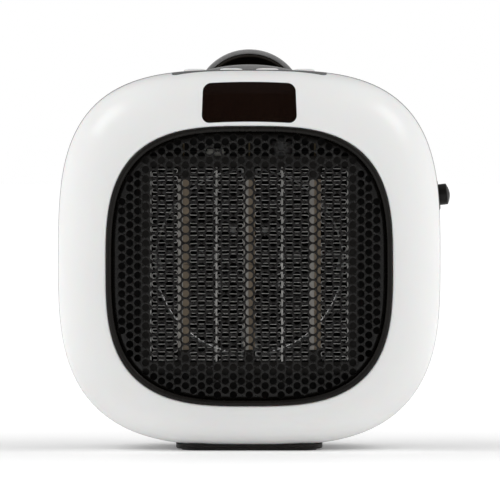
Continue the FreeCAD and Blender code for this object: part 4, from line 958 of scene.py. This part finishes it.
def fold_path(low, high):
    """Zigzag (x, z) line of a folded strip, its folds a little uneven and bowed."""
    count = int((high.z - low.z) / FOLD)
    start = (low.z + high.z) / 2 - FOLD * count / 2
    left, right = low.x + STRIP_HALF, high.x - STRIP_HALF
    inset, flatten = (FOLD / 2 - STRIP_HALF) * 0.8, 0.92
    drift = [uneven(0.26) for _ in range(count + 1)]
    path = []
    for k in range(count + 1):
        z = start + k * FOLD + drift[k] * (0 < k < count)
        tilt, bow = uneven(0.3), uneven(0.25)
        near, far = (left, right) if k % 2 == 0 else (right, left)
        sign = copysign(1, far - near)
        for share in (0.0, 0.2, 0.4, 0.6, 0.8, 1.0):
            x = near + sign * (inset + (right - left - 2 * inset) * share)
            path.append((x, z + tilt * (share - 0.5) + bow * sin(pi * share)))
        if k < count:
            top = start + (k + 1) * FOLD + drift[k + 1] * (k + 1 < count)
            path += [(far - sign * inset * (1 - cos(turn)),
                      (z + top) / 2 + (top - z) / 2 * sin(turn) * flatten)
                     for turn in arc_steps(-60, 60, 4)]
    return [Vector(point) for point in path]


def fin_column(index):
    """Folded aluminium strip: the zigzag line made thick and as deep as the core."""
    name = f"fin_column_{index}"
    low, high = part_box(name)
    points = fold_path(low, high)
    sides = ([], [])
    for k, point in enumerate(points):
        ahead = points[min(k + 1, len(points) - 1)] - points[max(k - 1, 0)]
        normal = Vector((-ahead.y, ahead.x)).normalized() * STRIP_HALF
        sides[0].append(point + normal)
        sides[1].append(point - normal)
    depths = (low.y, low.y + 5 * MM, low.y + 10 * MM, high.y)
    total, last = len(points), len(depths) - 1
    corners = [(p.x, y, p.y) for y in depths for side in sides for p in side]
    faces = []
    for d in range(len(depths)):
        base = d * 2 * total
        up = base + 2 * total
        if d in (0, last):
            faces += [(base + k, base + k + 1, base + total + k + 1, base + total + k)
                      for k in range(total - 1)]
        if d < last:
            for first, above in ((base, up), (base + total, up + total)):
                faces += [(first + k, first + k + 1, above + k + 1, above + k) for k in range(total - 1)]
            faces += [(base + k, base + total + k, up + total + k, up + k) for k in (0, total - 1)]
    piece = outward(from_faces(f"folded_fins_{index}", corners, faces))
    finished(piece, ALUMINIUM, "bare_aluminium", name, angle=50)


def chamfered_box(name, low, high, edge):
    """Box with rounded edges."""
    work = bmesh.new()
    bmesh.ops.create_cube(work, size=1.0)
    for vert in work.verts:
        vert.co = Vector([lo + (hi - lo) * (share + 0.5) for lo, hi, share in zip(low, high, vert.co)])
    bmesh.ops.bevel(work, geom=work.edges[:], offset=edge, segments=2, affect="EDGES", profile=0.6)
    mesh = bpy.data.meshes.new(name)
    work.to_mesh(mesh)
    work.free()
    return add_object(name, mesh)


def ceramic_row(index):
    """A row of ceramic stones with thin glue gaps."""
    name = f"ceramic_row_{index}"
    low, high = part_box(name)
    count, gap, edge = 4, 0.12 * MM, 0.2 * MM
    length = (high.z - low.z) / count
    stones = [chamfered_box("stone", (low.x, low.y, low.z + k * length + gap),
                            (high.x, high.y, low.z + (k + 1) * length - gap), edge) for k in range(count)]
    finished(merged(f"ceramic_stones_{index}", stones), STONE, "heater_ceramic", name)


def strips(node, name, spans, edge, paint=ALUMINIUM):
    """Upright strips with softened edges over a node's depth and height, one per (left, right) span."""
    low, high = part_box(node)
    made = [chamfered_box("strip", (left, low.y, low.z), (right, high.y, high.z), edge)
            for left, right in spans]
    finished(merged(name, made), paint, "bare_aluminium", node)


def core_metal():
    """Electrode strip beside each ceramic row, dividers between the fins and plates at the sides."""
    width, gap = mm(2.8, 0.05)
    edges = [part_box(f"ceramic_row_{index}")[0].x for index in (1, 2, 3)]
    strips("row_electrodes", "electrode_strips", [(x - width, x - gap) for x in edges], 0.3 * MM, ELECTRODE)
    for node, name, place, half in (("fin_dividers", "divider_plates", 17.9 * MM, 0.5 * MM),
                                    ("side_plates", "core_side_plates", 53.8 * MM, 0.4 * MM)):
        strips(node, name, [(x - half, x + half) for x in (-place, place)], 0.15 * MM)


def safety_parts():
    """Bimetal cut-out with a crimped rim, and a thermal fuse with its leads."""
    low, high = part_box("thermal_cutout")
    middle = middle_of("thermal_cutout")
    radius = high.x - middle.x
    flange, crimp, top, stud, stud_top, soft_edge = mm(1.4, 1.8, 8, 3, 10, 0.4)
    neck = radius - 0.5 * MM
    can = rounded([(0, 0), (radius, 0), (radius, flange), (neck, crimp), (neck, top), (stud, top),
                   (stud, stud_top), (0, stud_top)], soft_edge)
    piece = lathe("cutout_can", can, Matrix.Translation((middle.x, middle.y, low.z)))
    # The cut-out's can is painted near black as painted shade of the casing's inside.
    finished(piece, STEEL_IN_PAINTED_SHADE, "steel_can", "thermal_cutout")
    low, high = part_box("thermal_fuse")
    middle = middle_of("thermal_fuse")
    length, radius = high.x - low.x, (high.z - low.z) / 2
    lead, lead_end, body_end = mm(0.5, 0.8, 1.2)
    place = Matrix.Translation((low.x, middle.y, middle.z)) @ Matrix.Rotation(pi / 2, 4, "Y")
    body = rounded([(0, 0), (lead, 0), (lead, lead_end), (radius, body_end), (radius, length - body_end),
                    (lead, length - lead_end), (lead, length), (0, length)], soft_edge)
    finished(lathe("fuse_body", body, place), PORCELAIN, "white_ceramic", "thermal_fuse")


# ---- side switch, rear grille, gland

def side_switch():
    """Ring with its barrel, and the round cap that slides in it."""
    ring = rounded(in_mm((0, -20), (6.9, -20), (6.9, 0), (8.2, 0), (8.2, 0.7), (7.6, 1), (6.05, 1),
                         (6.05, -9), (0, -9)), 0.25 * MM, 3)
    finished(lathe("switch_ring", ring, SWITCH_PLACE, 96), SWITCH_BLACK, "switch_black", "switch_body")
    radius, edge, rise, shoulder, crown, top = mm(5.75, 0.45, 0.5, 5, 1.5, 7)
    cap = [(0, -6 * MM)] + [(radius, height) for height in mm(-6, 0, 2, 4, 5)]
    cap += [(radius - edge * (1 - cos(turn)), shoulder + rise * sin(turn))
            for turn in arc_steps(20, 75, 3)]
    cap += [((radius - edge) * share, shoulder + rise + crown * (1 - share ** 2))
            for share in (1 - k / 9 for k in range(1, 9))]
    cap.append((0, top))
    piece = lathe("switch_push_cap", cap, SWITCH_PLACE, 96)
    finished(piece, SWITCH_BLACK, "switch_black", "switch_cap", body="switch_push", angle=40)


LOUVRE_LEAN = 1.1


def rear_grille():
    """Round intake grille with leaning louvres on both sides of a middle rib."""
    low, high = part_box("rear_grille")
    radius, thickness = high.x, high.y - low.y
    profile = rounded([(0, 0), (radius, 0), (radius, thickness), (0, thickness)], 0.5 * MM, 3)
    disc = lathe("intake_disc", profile, backward(0, low.y, CORE_Z), 160)
    pitch, half_slot, rib, margin, spare = mm(5, 1.3, 1.5, 5, 1)
    depth, lift, rows = thickness + 2 * spare, LOUVRE_LEAN * (thickness / 2 + spare), 8
    slots = []
    for index in range(-rows, rows + 1):
        z = pitch * index
        reach = sqrt((radius - margin) ** 2 - (abs(z) + half_slot) ** 2)
        for side in (-1, 1):
            middle, half = side * (reach + rib) / 2, (reach - rib) / 2 - half_slot
            ring = [Vector((middle + end * (half + half_slot * cos(turn)), low.y - spare,
                            CORE_Z + z + half_slot * sin(turn) + lift))
                    for end in (1, -1) for turn in arc_steps(-90 * end, 90 * end, 8)]
            slots.append(prism("slot", ring, Vector((0, depth, -LOUVRE_LEAN * depth))))
    carve(disc, merged("slots", slots))
    bevelled(disc, 0.25 * MM, 2, 50)
    finished(disc, BLACK, "black_plastic", "rear_grille", angle=45)


def cord_gland():
    """Flanged inlet bush of the mains lead, with a clear bore."""
    low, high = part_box("cord_gland")
    middle, length = middle_of("cord_gland"), high.y - low.y
    bore, barrel, flange, end, seat, face, soft_edge = mm(3.6, 6, 8.2, 7.4, 8, 9.4, 0.4)
    profile = rounded([(bore, 0), (barrel, 0), (barrel, seat), (flange, seat), (flange, face),
                       (end, length), (bore, length), (bore, 0.1 * MM)], soft_edge)
    place = backward(middle.x, low.y, middle.z)
    finished(lathe("inlet_bush", profile[:-1], place), BLACK, "black_plastic", "cord_gland")


def cross_screws(node, name, places, height, length, facing):
    """Pan-head screws with a cross recess.  facing is the way their heads look."""
    radius, shank, point, slot_long, slot_half, deep, above = mm(2.9, 1.45, 0.4, 1.6, 0.36, 1, 1)
    turn = Vector((0, 0, 1)).rotation_difference(Vector(facing)).to_matrix().to_4x4()
    profile = rounded([(0, -length), (shank, point - length), (shank, 0), (radius, 0),
                       (radius, height * 0.45), (radius * 0.62, height), (0, height)], 0.35 * MM)
    made = []
    for place in places:
        screw = lathe("screw", profile, None, 32)
        for x, y in ((slot_long, slot_half), (slot_half, slot_long)):
            carve(screw, chamfered_box("recess", (-x, -y, height - deep), (x, y, height + above),
                                       0.05 * MM))
        spin = Matrix.Rotation(rng.uniform(0, 3), 4, "Z")
        screw.data.transform(Matrix.Translation(place) @ turn @ spin)
        made.append(screw)
    finished(merged(name, made), SCREW, "screw_steel", node)


def visible_screws():
    cross_screws("casing_screws", "well_screws", [(x, WELL_SEAT, z) for x, z in well_places()],
                 2 * MM, 19 * MM, (0, 1, 0))
    cross_screws("base_screws", "plinth_screws", [(x, BASE_SCREW_Y, 2.6 * MM) for x in (-SCREW_X, SCREW_X)],
                 1.3 * MM, 10 * MM, (0, 0, -1))


# ---- materials of the CAD's own pieces

CAD_PAINTS = {
    DISPLAY_BLACK: ("display_module", "ir_receiver"),
    BOARD: ("display_board", "control_board", "main_board"),
    BLUE_PLASTIC: ("tact_switches", "relays", "capacitors"),
    CREAM_PLASTIC: ("power_transformer", "terminal_block", "tilt_switch"),
    BLACK: ("core_frame", "air_duct", "fan_impeller"),
    SWITCH_BLACK: ("switch_nut",),
    BRASS_IN_PAINTED_SHADE: ("core_terminals", "motor_bushes"),
    STEEL: ("motor_bracket", "motor_case", "motor_cover", "motor_stator", "motor_rotor", "motor_shaft"),
    SCREW: ("core_screws", "bracket_screws", "board_screws"),
}


def paint_cad_pieces():
    for paint, names in CAD_PAINTS.items():
        for name in names:
            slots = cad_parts[name].data.materials
            slots.clear()
            slots.append(paint.material)


# ---- stage

FLOOR_GLOW = (0.16, 0.50)           # the floor's own light near the object and far from it; the weaker glow near the object is painted shade round it
GLOW_RANGE = (0.15, 0.70)           # distances between which it rises
SIDE_GLOW = ((0.10, 0.17), (0.38, 0.86), (0.75, 0.97))    # (how far sideways, brightness)
WORLD_STRENGTH = 0.97
VIEW_WIDTH = 0.273
CAMERA_DISTANCE, CAMERA_ELEVATION = 5.0, radians(1.0)
CAMERA_AIM = Vector((0.0004, WIDEST_Y, 0.1092))
SENSOR = 36


def studio_world():
    """White surroundings that light the object from its sides more than from the front or the top."""
    world = bpy.data.worlds.new("studio")
    world.use_nodes = True
    nodes, own = Nodes(world.node_tree), world.node_tree.nodes
    place = nodes.node("SeparateXYZ", Vector=nodes.node("TexCoord").outputs["Generated"])
    sideways = nodes.node("Math", Value=place.outputs["X"])
    sideways.operation = "ABSOLUTE"
    stops = [(position, tone(grey)) for position, grey in SIDE_GLOW]
    glow = own["Background"]
    nodes.feed(nodes.ramp(sideways.outputs[0], *stops), glow.inputs["Color"])
    nodes.feed(WORLD_STRENGTH, glow.inputs["Strength"])
    backdrop = nodes.node("Background", Color=(1, 1, 1, 1))
    mix = nodes.node("MixShader", Fac=nodes.node("LightPath").outputs["Is Camera Ray"])
    nodes.feed(glow.outputs[0], mix.inputs[1])
    nodes.feed(backdrop.outputs[0], mix.inputs[2])
    nodes.feed(mix.outputs[0], own["World Output"].inputs["Surface"])
    return world


def stage():
    """Pale floor that glows, more weakly near the object as painted shade, soft boxes, white surroundings
    and a long-lens camera in front.
    """
    scene = bpy.context.scene
    scene.view_settings.view_transform = "Standard"
    scene.world = studio_world()

    floor = from_faces("floor", [(-9, -9, 0), (9, -9, 0), (9, 14, 0), (-9, 14, 0)], [(0, 1, 2, 3)])
    paint = Paint("pale_glowing_floor", Roughness=0.7, Emission_Color=(1, 1, 1, 1))
    paint.colour(paint.noise(8), (0.3, tone(0.90)), (0.7, tone(0.93)))
    distance = paint.node("VectorMath")
    distance.operation = "LENGTH"
    paint.feed(paint.where, distance.inputs[0])
    # Painted light: the floor glows, and glows more weakly near the object, which paints shade round it.
    glow = paint.spread(distance.outputs["Value"], *FLOOR_GLOW, *GLOW_RANGE)
    paint.feed(glow, paint.inputs["Emission Strength"])
    floor.data.materials.append(paint.material)

    def soft_box(name, place, target, size, power):
        light = bpy.data.lights.new(name, "AREA")
        light.shape = "RECTANGLE"
        light.size, light.size_y = size
        light.energy = power
        lamp = add_object(name, light)
        lamp.location = place
        aim = Vector(target) - Vector(place)
        lamp.rotation_mode = "QUATERNION"
        lamp.rotation_quaternion = aim.to_track_quat("-Z", "Y")

    middle = (0, 0, 0.1)
    soft_box("key_left", (-0.95, -0.2, 1.05), middle, (0.55, 0.55), 3.2)
    soft_box("key_right", (0.95, -0.2, 1.05), middle, (0.55, 0.55), 3.0)
    soft_box("overhead", (0, 0.1, 1.3), middle, (1.6, 1.2), 1.5)

    camera = add_object("camera", bpy.data.cameras.new("camera"))
    scene.camera = camera
    away = Vector((0, -cos(CAMERA_ELEVATION), sin(CAMERA_ELEVATION)))
    camera.location = CAMERA_AIM + away * CAMERA_DISTANCE
    camera.rotation_mode = "QUATERNION"
    camera.rotation_quaternion = (CAMERA_AIM - camera.location).to_track_quat("-Z", "Y")
    camera.data.sensor_width = SENSOR
    camera.data.lens = SENSOR * CAMERA_DISTANCE / VIEW_WIDTH
    camera.data.clip_start, camera.data.clip_end = 0.1, 60


stage()
front_bezel()
rear_housing()
trim_ring()
front_grille()
display_lens()
control_panel()
for name in BUTTONS:
    top_button(name)
grip_hood()
grip_liner()
base_plinth()
rubber_foot_ring()
for index in range(1, 7):
    fin_column(index)
for index in (1, 2, 3):
    ceramic_row(index)
core_metal()
safety_parts()
side_switch()
rear_grille()
cord_gland()
visible_screws()
paint_cad_pieces()
